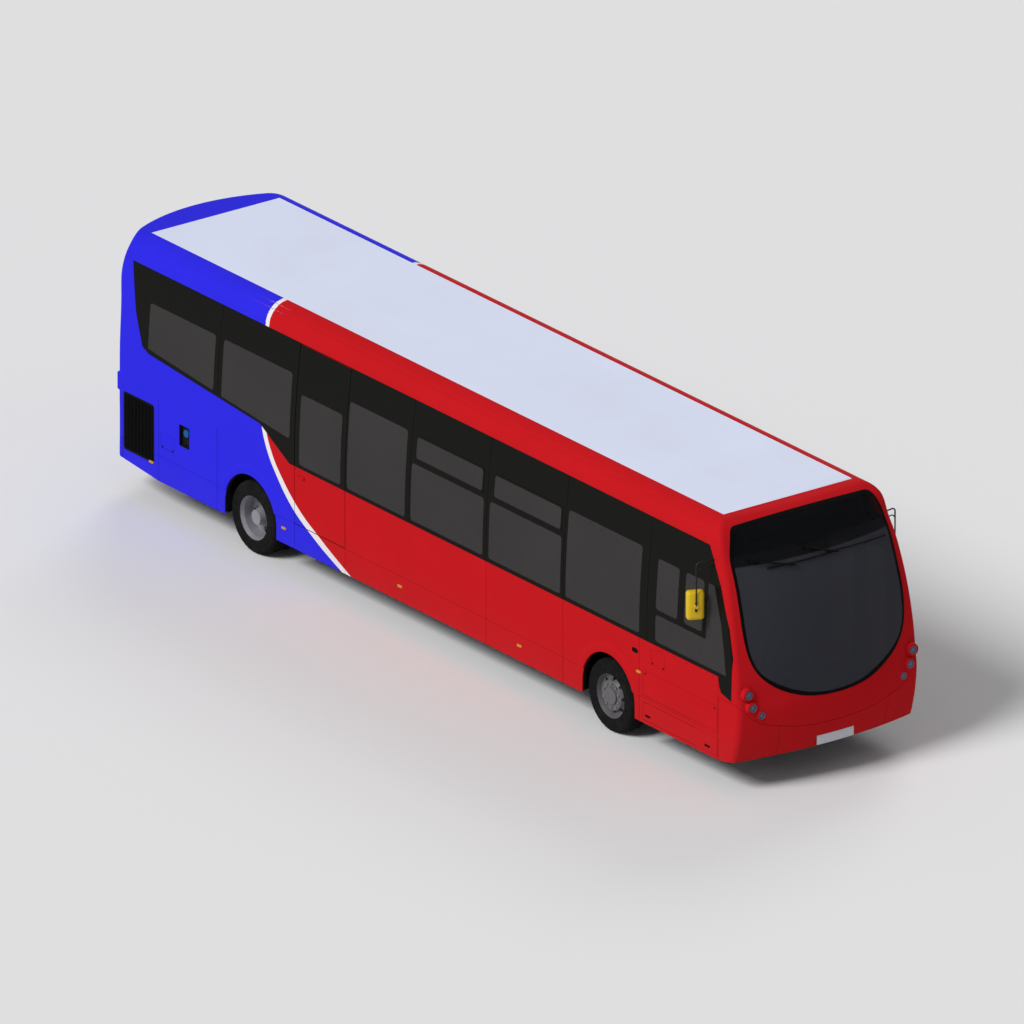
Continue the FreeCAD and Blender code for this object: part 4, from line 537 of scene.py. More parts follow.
def in_quarter(tree, axes):
    """1 inside the clear field of the quarter glass."""
    inside = maths(tree, "GREATER_THAN", axes["X"], QUARTER_REAR)
    for limit, way in ((QUARTER_SILL, "GREATER_THAN"), (QUARTER_TOP, "LESS_THAN")):
        inside = maths(tree, "MULTIPLY", inside, maths(tree, way, axes["Z"], limit))
    for (x0, z0), (x1, z1) in zip(QUARTER_EDGE[:-1], QUARTER_EDGE[1:]):
        slope = (x1 - x0) / (z1 - z0)
        edge = maths(tree, "MULTIPLY_ADD", axes["Z"], slope, x0 - slope * z0)
        inside = maths(tree, "MULTIPLY", inside, maths(tree, "LESS_THAN", axes["X"], edge))
    return inside


def tinted_glass(name, colour, spread, scales, rough, specular):
    """Glass with clouds in its tint, faint smears and a slow wave in its surface, whose scales
    come in that order. rough holds the plain, lowest and highest roughness."""
    material, tree, shader, place = new_finish(name, rough[0], specular=specular)
    tint = clouded(tree, place, tone(colour), scales[0], spread, 0.3)
    tree.links.new(tint, shader.inputs["Base Color"])
    smear = between(tree, noise(tree, place, scales[1], 4.0), rough[1], rough[2], 0.3, 0.7)
    tree.links.new(smear, shader.inputs["Roughness"])
    lift_surface(tree, shader, noise(tree, place, scales[2], 1.0), 0.1, 0.002)
    return material, tree, shader, place, tint


def printed_glass(name, fields, quarter):
    """Tinted glass with a solid black print outside its clear fields."""
    material, tree, shader, place, tint = tinted_glass(
        name, GLASS_GREY, 0.06, scales=(0.8, 3.0, 2.2), rough=(0.12, 0.10, 0.22), specular=0.03)
    axes = add_node(tree, "ShaderNodeSeparateXYZ", Vector=place).outputs
    flat = vector_maths(tree, "MULTIPLY", place, (1.0, 0.0, 1.0))
    clear = in_quarter(tree, axes) if quarter else 0.0
    for field in fields:
        clear = maths(tree, "MAXIMUM", clear, in_field(tree, flat, axes, field))
    lay_over(tree, shader, clear, tone(PRINT_BLACK), tint)
    tree.links.new(between(tree, clear, 1.0, GLASS_COVER), shader.inputs["Alpha"])
    return material


dress(printed_glass("side_glass", CLEAR_FIELDS, True), "side_glazing")
dress(printed_glass("exit_glass", (DOOR_FIELD,), False), "emergency_glass")
dress(body_paint, "emergency_door")


# Windscreen: one deep bowed laminated pane in a black rubber seal, with a dark tint that turns
# darker over the header panel and clearer above it. Two wipers park along its top edge, on
# spindles through the glass. The rear window and the door panes have even tints of their own.
SCREEN_GREY, HEADER_BLACK = (55, 56, 63), (16, 17, 20)
SCREEN_COVER, BAND_COVER = 0.86, 0.45
HEADER_Z = (2.500, 2.515)
CLEAR_BAND_Z = (2.600, 2.630)


def plain_glass(name, colour, cover, rough):
    """Tinted glass with no print."""
    parts = tinted_glass(name, colour, 0.07, scales=(0.9, 4.0, 1.8), rough=rough, specular=0.05)
    parts[2].inputs["Alpha"].default_value = cover
    return parts


screen_glass, tree, shader, place, tint = plain_glass(
    "screen_glass", SCREEN_GREY, SCREEN_COVER, rough=(0.08, 0.08, 0.2))
height = add_node(tree, "ShaderNodeSeparateXYZ", Vector=place).outputs["Z"]
lay_over(tree, shader, between(tree, height, 0.0, 1.0, *HEADER_Z), tint, tone(HEADER_BLACK))
tree.links.new(between(tree, height, SCREEN_COVER, BAND_COVER, *CLEAR_BAND_Z), shader.inputs["Alpha"])
dress(screen_glass, "windscreen")
rear_glass = plain_glass("rear_glass", (46, 45, 46), 0.85, rough=(0.1, 0.1, 0.22))[0]
dress(rear_glass, "rear_window")
door_glass = plain_glass("door_glass", (56, 56, 57), 0.6, rough=(0.08, 0.08, 0.2))[0]
dress(door_glass, "door_glass_front", "door_glass_rear")

seal_rubber = coated("seal_rubber", (10, 10, 11), clouds=(12.0, 0.25), rough=(0.6, 0.5, 0.75),
                     grain=(380.0, 0.0004), specular=0.03)
dress(seal_rubber, "windscreen_seal", "wheel_boxes")
wiper_black = coated("wiper_black", (10, 10, 10), clouds=(20.0, 0.3), rough=(0.5, 0.4, 0.65),
                     grain=(420.0, 0.0003), worn=((44, 44, 46), 0.002, 0.5), specular=0.05)
dress(wiper_black, "windscreen_wipers", "radiator_grille")


# Roof: one flat laminated panel in white between the cant rails, bonded at its edges.
# A flat bead of white sealant fills the joint across its front end, against the moulded cap.
ROOF_WHITE, GRIME = (215, 221, 242), (168, 166, 168)
ROOF_END_X, CAP_X, ROOF_HALF_Y, ROOF_Z = 4.905, 4.931, 0.868, 2.970
BEAD_LAP, BEAD_DEEP, BEAD_SINK = 0.001, 0.012, 0.0004

roof_white, tree, shader, place = new_finish("roof_white", 0.4, specular=0.05)
shaded = uneven(tree, shader, place, tone(ROOF_WHITE), 1.1, 0.02, (0.35, 0.5), 260.0, 0.0002)
grime = between(tree, noise(tree, place, 0.9, 8.0), 0.0, 0.10, 0.5, 0.8)
lay_over(tree, shader, grime, shaded, tone(GRIME))
dress(roof_white, "roof_panel")


def add_block(mesh, low, high, radius, steps=2):
    """A block between two corners with its edges rounded."""
    block = bmesh.new()
    bmesh.ops.create_cube(block, size=1.0)
    for vertex in block.verts:
        spot = [a + (b - a) * (c + 0.5) for a, b, c in zip(low, high, vertex.co)]
        vertex.co = Vector(spot)
    bmesh.ops.bevel(block, geom=block.edges[:], offset=radius, segments=steps, profile=0.5, affect="EDGES")
    join_into(mesh, block)


mesh = bmesh.new()
low = (ROOF_END_X - BEAD_LAP, -ROOF_HALF_Y, ROOF_Z - BEAD_DEEP)
add_block(mesh, low, (CAP_X, ROOF_HALF_Y, ROOF_Z - BEAD_SINK), radius=0.002)
add_piece("roof_sealant", mesh, "bus_body", roof_white, smooth=30.0)


# Lamps: round sealed units, three in each front corner and five at each rear corner, with ribbed
# lenses that are coloured at the rear. Each front one sits in a bright rim, with a small dome over
# its bulb. Five amber markers with domed lenses are bonded along either side.
LAMP_STEPS = 24
# Face x, then y and z of the centre, and the lens radius
FRONT_LAMPS = ((5.707, 1.110, 1.171, 0.046), (5.723, 1.064, 1.020, 0.046), (5.739, 0.958, 0.914, 0.042))
# The rim: place ahead of the face, and inset from the lens radius
RIM_STEPS = ((0.0, 0.0), (0.004, 0.001), (0.0045, 0.006), (0.001, 0.008), (0.0005, 0.010))
# The dome: place ahead of the face, and share of the lens radius
DOME_STEPS = ((0.0005, 0.45), (0.004, 0.38), (0.006, 0.2))
DOME_TIP = (0.0065, 0.001)
REAR_RED, REAR_AMBER, REAR_CLEAR = (170, 16, 16), (214, 120, 20), (190, 190, 188)
AMBER_Z, CLEAR_Z, REAR_LENS_HALF = 0.890, 0.760, 0.06


def add_turned_x(mesh, outline, centre, steps):
    """Turns an outline of (x offset, radius) about a line along the bus through centre."""
    x, y, z = centre
    rings = []
    for i in range(steps):
        angle = 2 * math.pi * i / steps
        rings.append([(x + a, y + r * math.cos(angle), z + r * math.sin(angle)) for a, r in outline])
    add_rings(mesh, rings, closed_round=False, loop=True)


def ribbed(tree, shader, place, direction, scale, strength=0.5, depth=0.002):
    """Fine even ribs in the surface."""
    settings = {"bands_direction": direction}
    ribs = add_node(tree, "ShaderNodeTexWave", settings, Vector=place, Scale=scale)
    lift_surface(tree, shader, ribs.outputs["Fac"], strength, depth)


def lens_finish(name, colour, rough, metallic=0.0):
    """Moulded lens plastic with fine upright ribs."""
    material, tree, shader, place = new_finish(name, rough, metallic, specular=0.5)
    uneven(tree, shader, place, tone(colour), 40.0, 0.1, (rough, rough + 0.12), 300.0, 0.0002)
    ribbed(tree, shader, place, "Y", 55.0)
    return material


# The dark blue-grey on the front lenses is a painted reflection; the lenses themselves are clear.
lamp_lens_painted_reflection = lens_finish("lamp_lens_painted_reflection", (66, 76, 98), 0.15, metallic=0.6)
dress(lamp_lens_painted_reflection, "front_lamps")
rear_lenses, tree, shader, place = new_finish("rear_lenses", 0.2, specular=0.4)
height = add_node(tree, "ShaderNodeSeparateXYZ", Vector=place).outputs["Z"]
lens = tone(REAR_RED)
for middle, colour in ((AMBER_Z, REAR_AMBER), (CLEAR_Z, REAR_CLEAR)):
    lens = blend_colours(tree, maths(tree, "COMPARE", height, middle, REAR_LENS_HALF), lens, tone(colour))
uneven(tree, shader, place, lens, 30.0, 0.08, (0.15, 0.3), 300.0, 0.0003)
ribbed(tree, shader, place, "Z", 40.0)
dress(rear_lenses, "rear_lamps")

lamp_chrome = coated("lamp_chrome", (88, 96, 112), clouds=(25.0, 0.1), rough=(0.2, 0.12, 0.3),
                     grain=(300.0, 0.0002), metallic=0.9)
mesh = bmesh.new()
for face_x, half_y, z, r in FRONT_LAMPS:
    rim = [(ahead, r - inset) for ahead, inset in RIM_STEPS]
    dome = [(ahead, r * share) for ahead, share in DOME_STEPS] + [DOME_TIP]
    for side in (-1, 1):
        for outline in (rim, dome):
            add_turned_x(mesh, outline, (face_x, side * half_y, z), LAMP_STEPS)
add_piece("front_lamp_rims", mesh, "bus_body", lamp_chrome, smooth=50.0)

marker_amber = lens_finish("marker_amber", (192, 134, 8), 0.25)
PANEL_Y = 1.220
MARKER_SPOTS = ((-4.971, 0.506), (-2.543, 0.503), (-0.429, 0.500), (1.735, 0.500), (3.882, 0.891))
MARKER_HALF_X, MARKER_HALF_Z = 0.041, 0.016
# Place out from the panel, and share of the whole outline
MARKER_RINGS = ((0.0, 1.0), (0.005, 0.98), (0.009, 0.86), (0.011, 0.6))
mesh = bmesh.new()
for side in (-1, 1):
    for x, z in MARKER_SPOTS:
        rings = []
        for lift, share in MARKER_RINGS:
            ring = []
            for i in range(LAMP_STEPS):
                angle = 2 * math.pi * i / LAMP_STEPS
                round_part = (math.cos(angle), math.sin(angle))
                across, up = [math.copysign(abs(part) ** 0.5, part) for part in round_part]
                y = side * (PANEL_Y + lift)
                ring.append((x + across * (MARKER_HALF_X * share), y, z + up * (MARKER_HALF_Z * share)))
            rings.append(ring)
        add_rings(mesh, rings, capped=True)
markers = add_piece("side_marker_lenses", mesh, "bus_body", marker_amber, smooth=50.0)
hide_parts("side_markers")


# Mirrors: a yellow moulded head on either side, hung from the top of the front pillar on two thin
# black bars and a long drop rod that is clamped to the middle of its back. The glass faces
# rearwards, and each head is turned towards the driver's seat.
MIRROR_X, MIRROR_Z = 5.062, 2.080
# By side: how far out the head stands, how far it is turned, and how much lower it hangs
MIRROR_REACH = {-1: 1.350, 1: 1.278}
MIRROR_TURN = {-1: 25, 1: 37}
MIRROR_DROP = {-1: 0.0, 1: 0.040}
HEAD_HALF_Y, HEAD_LOW, HEAD_HIGH = 0.098, -0.168, 0.163
# From the glass to the back: place ahead of the head's middle, and share of the whole outline
HEAD_RINGS = (
    (-0.045, 0.90),
    (-0.043, 0.97),
    (-0.030, 1.0),
    (0.012, 1.0),
    (0.032, 0.94),
    (0.044, 0.80),
    (0.049, 0.55),
)
HEAD_CORNER, HEAD_LEAST_CORNER = 0.034, 0.012
PANE_BACKS, PANE_HALF_Y, PANE_INSET, PANE_CORNER = (-0.046, -0.0465), 0.082, 0.016, 0.026
BAR_SIDES, COLLAR_SIDES = 14, 20
BAR_ROOT_X, DROP_AHEAD = 5.128, 0.060
# Place across of each bar's root, its height there, its height at the turn, and its thickness
UPPER_Y, UPPER_Z, UPPER_TURN_Z, UPPER_R = 1.075, 2.570, 2.585, 0.0085
LOWER_Y, LOWER_Z, LOWER_TURN_Z, LOWER_R = 1.080, 2.500, 2.508, 0.007
LOWER_SHORT, LOWER_END_Z = 0.03, 2.47
CLAMP_AHEAD, CLAMP_Z, CLAMP_R = 0.048, (-0.062, 0.040), 0.014
COLLAR_AHEAD, COLLAR_R = (0.045, 0.066), 0.024
FOOT_X, FOOT_Y, FOOT_HALF_Z, FOOT_R = 5.130, 1.060, 0.016, 0.020


def rounded_ring(x, middle, half_y, half_z, corner, steps=6):
    """Points of a round-cornered rectangle across the bus."""
    points = []
    for quarter, (sy, sz) in enumerate(((1, 1), (-1, 1), (-1, -1), (1, -1))):
        for i in range(steps):
            angle = math.pi / 2 * (quarter + i / (steps - 1))
            y = sy * (half_y - corner) + corner * math.cos(angle)
            z = sz * (half_z - corner) + corner * math.sin(angle)
            points.append((x, middle[0] + y, middle[1] + z))
    return points


def add_tube(mesh, points, radius, sides=BAR_SIDES):
    """A bar through points, bent where they turn, with flat ends."""
    points = [Vector(point) for point in points]
    rings = []
    across = None
    for i, point in enumerate(points):
        run = points[min(i + 1, len(points) - 1)] - points[max(i - 1, 0)]
        run.normalize()
        if across is None:
            across = run.orthogonal().normalized()
        across = (across - run * across.dot(run)).normalized()
        other = run.cross(across)
        turns = [2 * math.pi * j / sides for j in range(sides)]
        rings.append([point + (across * math.cos(t) + other * math.sin(t)) * radius for t in turns])
    add_rings(mesh, rings, capped=True)


def bend(a, corner, b, radius, steps=6):
    """Points from a to b that go round a corner in an even bend."""
    a, corner, b = Vector(a), Vector(corner), Vector(b)
    start = corner + (a - corner).normalized() * radius
    end = corner + (b - corner).normalized() * radius
    points = [a]
    for i in range(steps + 1):
        t = i / steps
        points.append(start * (1 - t) ** 2 + corner * 2 * t * (1 - t) + end * t * t)
    return points + [b]


def swung(points, side):
    """Points of a mirror turned about its own upright middle line, towards the driver's seat."""
    turn = side * math.radians(MIRROR_TURN[side])
    middle_y = side * MIRROR_REACH[side]
    turned = []
    for x, y, z in points:
        ahead, aside = x - MIRROR_X, y - middle_y
        turned_x = MIRROR_X + ahead * math.cos(turn) - aside * math.sin(turn)
        turned.append((turned_x, middle_y + ahead * math.sin(turn) + aside * math.cos(turn), z))
    return turned


mirror_yellow = coated("mirror_yellow", (216, 180, 14), clouds=(12.0, 0.05), rough=(0.35, 0.3, 0.45),
                       grain=(300.0, 0.0002), worn=((236, 212, 96), 0.003, 0.5))
mirror_silver = coated("mirror_silver", (200, 204, 208), clouds=(10.0, 0.03), rough=(0.06, 0.04, 0.1),
                       grain=(60.0, 0.0001), metallic=1.0)
bar_black = coated("bar_black", (18, 18, 19), clouds=(25.0, 0.2), rough=(0.4, 0.35, 0.5),
                   grain=(380.0, 0.0002), worn=((70, 70, 72), 0.002), specular=0.25)
heads, glasses, bars, collars = bmesh.new(), bmesh.new(), bmesh.new(), bmesh.new()
for side, reach in MIRROR_REACH.items():
    head_z = MIRROR_Z - MIRROR_DROP[side]
    middle = (side * reach, head_z + (HEAD_LOW + HEAD_HIGH) / 2)
    half_z = (HEAD_HIGH - HEAD_LOW) / 2
    rings = []
    for x, share in HEAD_RINGS:
        inset = (1 - share) * HEAD_HALF_Y
        corner = max(HEAD_CORNER - inset * 0.4, HEAD_LEAST_CORNER)
        ring = rounded_ring(MIRROR_X + x, middle, HEAD_HALF_Y - inset, half_z - inset, corner)
        rings.append(swung(ring, side))
    add_rings(heads, rings, capped=True)
    panes = []
    for back in PANE_BACKS:
        ring = rounded_ring(MIRROR_X + back, middle, PANE_HALF_Y, half_z - PANE_INSET, PANE_CORNER)
        panes.append(swung(ring, side))
    add_rings(glasses, panes, capped=True)
    middle_y = side * reach
    drop_x, y = swung([(MIRROR_X + DROP_AHEAD, middle_y, 0.0)], side)[0][:2]
    root = (BAR_ROOT_X, side * UPPER_Y, UPPER_Z)
    upper = bend(root, (drop_x, y, UPPER_TURN_Z), (drop_x, y, head_z), radius=0.05)
    add_tube(bars, upper, UPPER_R)
    root = (BAR_ROOT_X, side * LOWER_Y, LOWER_Z)
    turn_spot = (drop_x, y - side * LOWER_SHORT, LOWER_TURN_Z)
    lower = bend(root, turn_spot, (drop_x, y, LOWER_END_Z), radius=0.02)
    add_tube(bars, lower, LOWER_R)
    clamp = [(MIRROR_X + CLAMP_AHEAD, middle_y, head_z + rise) for rise in CLAMP_Z]
    add_tube(bars, swung(clamp, side), CLAMP_R)
    collar = [(MIRROR_X + ahead, middle_y, head_z) for ahead in COLLAR_AHEAD]
    add_tube(collars, swung(collar, side), COLLAR_R, COLLAR_SIDES)
    for foot_z in (LOWER_Z, UPPER_Z):
        ends = [(FOOT_X, side * FOOT_Y, foot_z + rise) for rise in (-FOOT_HALF_Z, FOOT_HALF_Z)]
        add_tube(bars, ends, FOOT_R)
add_piece("mirror_glasses", glasses, "bus_body", mirror_silver)
add_piece("mirror_collars", collars, "bus_body", mirror_yellow, smooth=50.0)
add_piece("mirror_bars", bars, "bus_body", bar_black, smooth=50.0)
mirror_heads = add_piece("mirror_heads", heads, "bus_body", mirror_yellow, smooth=50.0)
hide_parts("mirrors")


# Doors and small fittings of the outside: black door frames with rubber strips where the entrance
# leaves meet, the filler cap in its pocket, rubber mud flaps behind the wheels, black catches and
# pulls that are set into the flaps, and blank number plates that are pressed from sheet.
DOOR_MIDDLE_X = 4.620
# Each strip starts and ends this far from the middle of the doorway
STRIP_NEAR, STRIP_FAR = 0.0012, 0.0085
STRIP_FOOT, STRIP_TOP, STRIP_STEPS = 0.412, 2.350, 14
# How far behind the panel line its back, its edge and its nose lie
STRIP_BACK, STRIP_EDGE, STRIP_NOSE = 0.032, 0.010, 0.006
WAIST_Z, SIDE_BEND = 1.290, 10.6

cap_blue = coated("cap_blue", (12, 82, 140), clouds=(25.0, 0.15), rough=(0.4, 0.35, 0.5),
                  grain=(300.0, 0.0003), worn=((70, 130, 176), 0.003, 0.5), specular=0.1)
dress(cap_blue, "filler_cap")
door_black = coated("door_black", (24, 24, 25), clouds=(10.0, 0.15), rough=(0.4, 0.35, 0.5),
                    grain=(320.0, 0.0002), worn=((84, 84, 86), 0.003, 0.6), specular=0.25)
dress(door_black, "door_leaf_front", "door_leaf_rear", "door_post_front", "door_post_rear")
dress(door_black, "door_portal", "destination_box")

door_strip_rubber = coated("door_strip_rubber", (14, 14, 15), clouds=(30.0, 0.2),
                           rough=(0.7, 0.6, 0.8), grain=(420.0, 0.0004), specular=0.1)
for end, way in (("front", 1), ("rear", -1)):
    low, high = sorted((DOOR_MIDDLE_X + way * STRIP_NEAR, DOOR_MIDDLE_X + way * STRIP_FAR))
    section = ((low, STRIP_BACK), (low, STRIP_EDGE), ((low + high) / 2, STRIP_NOSE),
               (high, STRIP_EDGE), (high, STRIP_BACK))
    rings = []
    for i in range(STRIP_STEPS + 1):
        z = STRIP_FOOT + (STRIP_TOP - STRIP_FOOT) * i / STRIP_STEPS
        y = PANEL_Y - max(z - WAIST_Z, 0.0) ** 2 / (2 * SIDE_BEND)
        rings.append([(x, y - behind, z) for x, behind in section])
    mesh = bmesh.new()
    add_rings(mesh, rings, capped=True)
    add_piece("door_strip_" + end, mesh, "door_leaf_" + end, door_strip_rubber)

# Where each mud flap hangs along the bus, its foot, its top and its inner edge
MUD_FLAPS = ((-3.624, 0.335, 0.625, 0.665), (2.801, 0.310, 0.400, 0.660))
MUD_FLAP_OUT_Y, MUD_FLAP_HALF = 1.180, 0.004
mesh = bmesh.new()
for x, foot, top, inner in MUD_FLAPS:
    for side in (-1, 1):
        y0, y1 = sorted((side * inner, side * MUD_FLAP_OUT_Y))
        add_block(mesh, (x - MUD_FLAP_HALF, y0, foot), (x + MUD_FLAP_HALF, y1, top), radius=0.002)
add_piece("mud_flaps", mesh, "bus_body", door_strip_rubber)

# Catches on the flaps of the driver's side: place along the bus and height
CATCHES = ((-4.765, 0.755), (-4.580, 0.755), (4.130, 1.066), (4.322, 1.066), (4.000, 0.905), (5.240, 0.905))
CATCH_HALF, CATCH_OUT, FITTING_SINK = 0.010, 0.0035, 0.001
# Rows of small clips under the emergency door's glass and the cab window: first and last place
CLIP_ROWS = ((-2.33, -1.45), (4.28, 5.2))
CLIPS, CLIP_HALF, CLIP_OUT, CLIP_FOOT, CLIP_TOP = 9, 0.005, 0.0015, 1.262, 1.272
# Pulls: place along the bus, height, half length, half height and corner
PULLS = (
    (4.044, 0.421, 0.048, 0.014, 0.010),
    (5.108, 0.425, 0.048, 0.014, 0.010),
    (3.813, 1.119, 0.055, 0.027, 0.026),
)
# Place across the bus and inset of each ring of a pull, from its back to its dished face
PULL_RINGS = ((-1.2170, 0.0), (-1.2207, 0.0), (-1.2217, 0.0015), (-1.2203, 0.006))
mesh = bmesh.new()
for x, z in CATCHES:
    low = (x - CATCH_HALF, -PANEL_Y - CATCH_OUT, z - CATCH_HALF)
    add_block(mesh, low, (x + CATCH_HALF, -PANEL_Y + FITTING_SINK, z + CATCH_HALF), radius=0.0022)
for x0, x1 in CLIP_ROWS:
    for i in range(CLIPS):
        x = x0 + (x1 - x0) * i / (CLIPS - 1)
        low = (x - CLIP_HALF, -PANEL_Y - CLIP_OUT, CLIP_FOOT)
        high = (x + CLIP_HALF, -PANEL_Y + FITTING_SINK, CLIP_TOP)
        add_block(mesh, low, high, radius=0.0012, steps=1)
for x, z, half_x, half_z, corner in PULLS:
    rings = []
    for y, inset in PULL_RINGS:
        flat = rounded_ring(0.0, (x, z), half_x - inset, half_z - inset, max(corner - inset, 0.002))
        rings.append([(along, y, up) for _, along, up in flat])
    add_rings(mesh, rings, capped=True)
add_piece("flap_catches", mesh, "bus_body", seal_rubber)

plate_white = coated("plate_white", (196, 198, 206), clouds=(18.0, 0.04), rough=(0.35, 0.25, 0.4),
                     grain=(900.0, 0.0003), specular=0.4)
PLATE_HALF_Y, PLATE_HALF_Z = 0.248, 0.0530
PLATE_STEPS = 16
# Inset and lift of each ring of a plate, from its back over the border to its face
PLATE_RINGS = ((0.0, 0.0), (0.0, 0.0035), (0.004, 0.0045), (0.010, 0.0045), (0.012, 0.0032))
# Place along the bus, height, the way it faces, and the radius of the panel behind
PLATES = ((5.789, 0.470, 1, 4.03), (-5.8105, 0.520, -1, 3.36))


def add_plate(mesh, x, z, out, panel_r):
    """A pressed number plate with a raised border that follows the bow of the panel behind."""
    bow = 1 / (2 * panel_r)
    share = [-1 + 2 * i / PLATE_STEPS for i in range(PLATE_STEPS + 1)]
    rows = []
    for inset, lift in PLATE_RINGS:
        half_y, half_z = PLATE_HALF_Y - inset, PLATE_HALF_Z - inset
        outline = [(half_y * k, half_z) for k in share] + [(-half_y * k, -half_z) for k in share]
        rows.append([(x + out * (lift - bow * y * y), y, z + height) for y, height in outline])
    add_rings(mesh, rows)
    face = rows[-1]
    count = PLATE_STEPS + 1
    top = [mesh.verts.new(point) for point in face[:count]]
    bottom = [mesh.verts.new(point) for point in face[:count - 1:-1]]
    for i in range(PLATE_STEPS):
        mesh.faces.new((top[i], bottom[i], bottom[i + 1], top[i + 1]))


mesh = bmesh.new()
for plate in PLATES:
    add_plate(mesh, *plate)
add_piece("number_plates", mesh, "bus_body", plate_white, smooth=30.0)


# Interior: a flecked vinyl floor, a moulded grey desk and grey screens round the driver.
# The yellow poles are powder-coated steel tubes clamped at the floor and the ceiling.
FLOOR_VINYL, FLECKS = (92, 96, 102), (170, 172, 176)


def spotted(tree, shader, place, shaded, colour, scale, strength, start, end):
    """Small round spots of a colour, over what is on the shader."""
    spots = add_node(tree, "ShaderNodeTexVoronoi", Vector=place, Scale=scale).outputs["Distance"]
    lay_over(tree, shader, between(tree, spots, strength, 0.0, start, end), shaded, colour)


vinyl, tree, shader, place = new_finish("floor_vinyl", 0.7, specular=0.2)
shaded = uneven(tree, shader, place, tone(FLOOR_VINYL), 3.0, 0.12, (0.6, 0.8), 200.0, 0.0006)
spotted(tree, shader, place, shaded, tone(FLECKS), 130.0, 0.5, 0.05, 0.25)
dress(vinyl, "saloon_floor", "cab_platform")
pole_yellow = coated("pole_yellow", (222, 190, 40), clouds=(8.0, 0.08), rough=(0.35, 0.3, 0.45),
                     grain=(500.0, 0.0002), worn=((236, 220, 150), 0.003, 0.4), specular=0.4)
dress(pole_yellow, "stanchions")
desk_grey = coated("desk_grey", (60, 61, 65), clouds=(6.0, 0.1), rough=(0.65, 0.55, 0.75),
                   grain=(240.0, 0.0008), worn=((104, 105, 108), 0.004, 0.6), specular=0.25)
dress(desk_grey, "dashboard", "cab_screen", "cab_door")


# Seats: moulded grey shells on pedestals with a yellow grab handle on top, carrying foam cushions
# in woven blue cloth with a piped edge. The driver's seat is taller and has a head restraint.
FOAM_PRESSURE = 4.0
FOAM_FRAMES = 20
FOAM_VOXEL = 0.020
FOAM_LIMIT = 0.012
# Sewn channels across a pad: place as a share of its width, depth and width
CHANNELS, CHANNEL_DEEP, CHANNEL_WIDE = (-0.32, 0.32), 0.006, 0.010
PIPING_R, PIPING_SIDES, PIPING_OUT, PIPING_CORNER = 0.0045, 6, 0.001, 0.035
CLOTH_BLUE, CLOTH_SPOTS = (46, 60, 140), (196, 60, 60)
SEAT_Y = 0.715
SEAT_HALF = 0.2075
# Side, height of the floor there, and the rear edge of each cushion along the bus
SEAT_ROWS = (
    (1, 0.400, (2.200, 1.420, 0.640, -0.140, -0.920, -1.700)),
    (-1, 0.400, (0.640, -0.140, -0.920)),
    (1, 0.620, (-2.780, -3.560)),
    (-1, 0.620, (-2.780, -3.560)),
    (1, 0.880, (-4.420, -5.180)),
    (-1, 0.880, (-4.420, -5.180)),
)
WHEEL_BOX_TOP, WHEEL_BOX_HALF = 0.935, 0.485

moquette, tree, shader, place = new_finish("moquette", 0.9, specular=0.1)
shader.inputs["Sheen Weight"].default_value = 0.4
shader.inputs["Sheen Roughness"].default_value = 0.5
shaded = uneven(tree, shader, place, tone(CLOTH_BLUE), 9.0, 0.15, (0.85, 0.95), 700.0, 0.0006)
spotted(tree, shader, place, shaded, tone(CLOTH_SPOTS), 38.0, 1.0, 0.16, 0.2)
ribbed(tree, shader, place, "DIAGONAL", 420.0, strength=0.4, depth=0.0008)
shell_grey = coated("shell_grey", (82, 84, 90), clouds=(7.0, 0.08), rough=(0.55, 0.45, 0.65),
                    grain=(320.0, 0.0005), worn=((130, 132, 136), 0.004, 0.6))


def settled(thing):
    """The mesh of an object as its modifiers leave it."""
    return bpy.data.meshes.new_from_object(thing.evaluated_get(bpy.context.evaluated_depsgraph_get()))


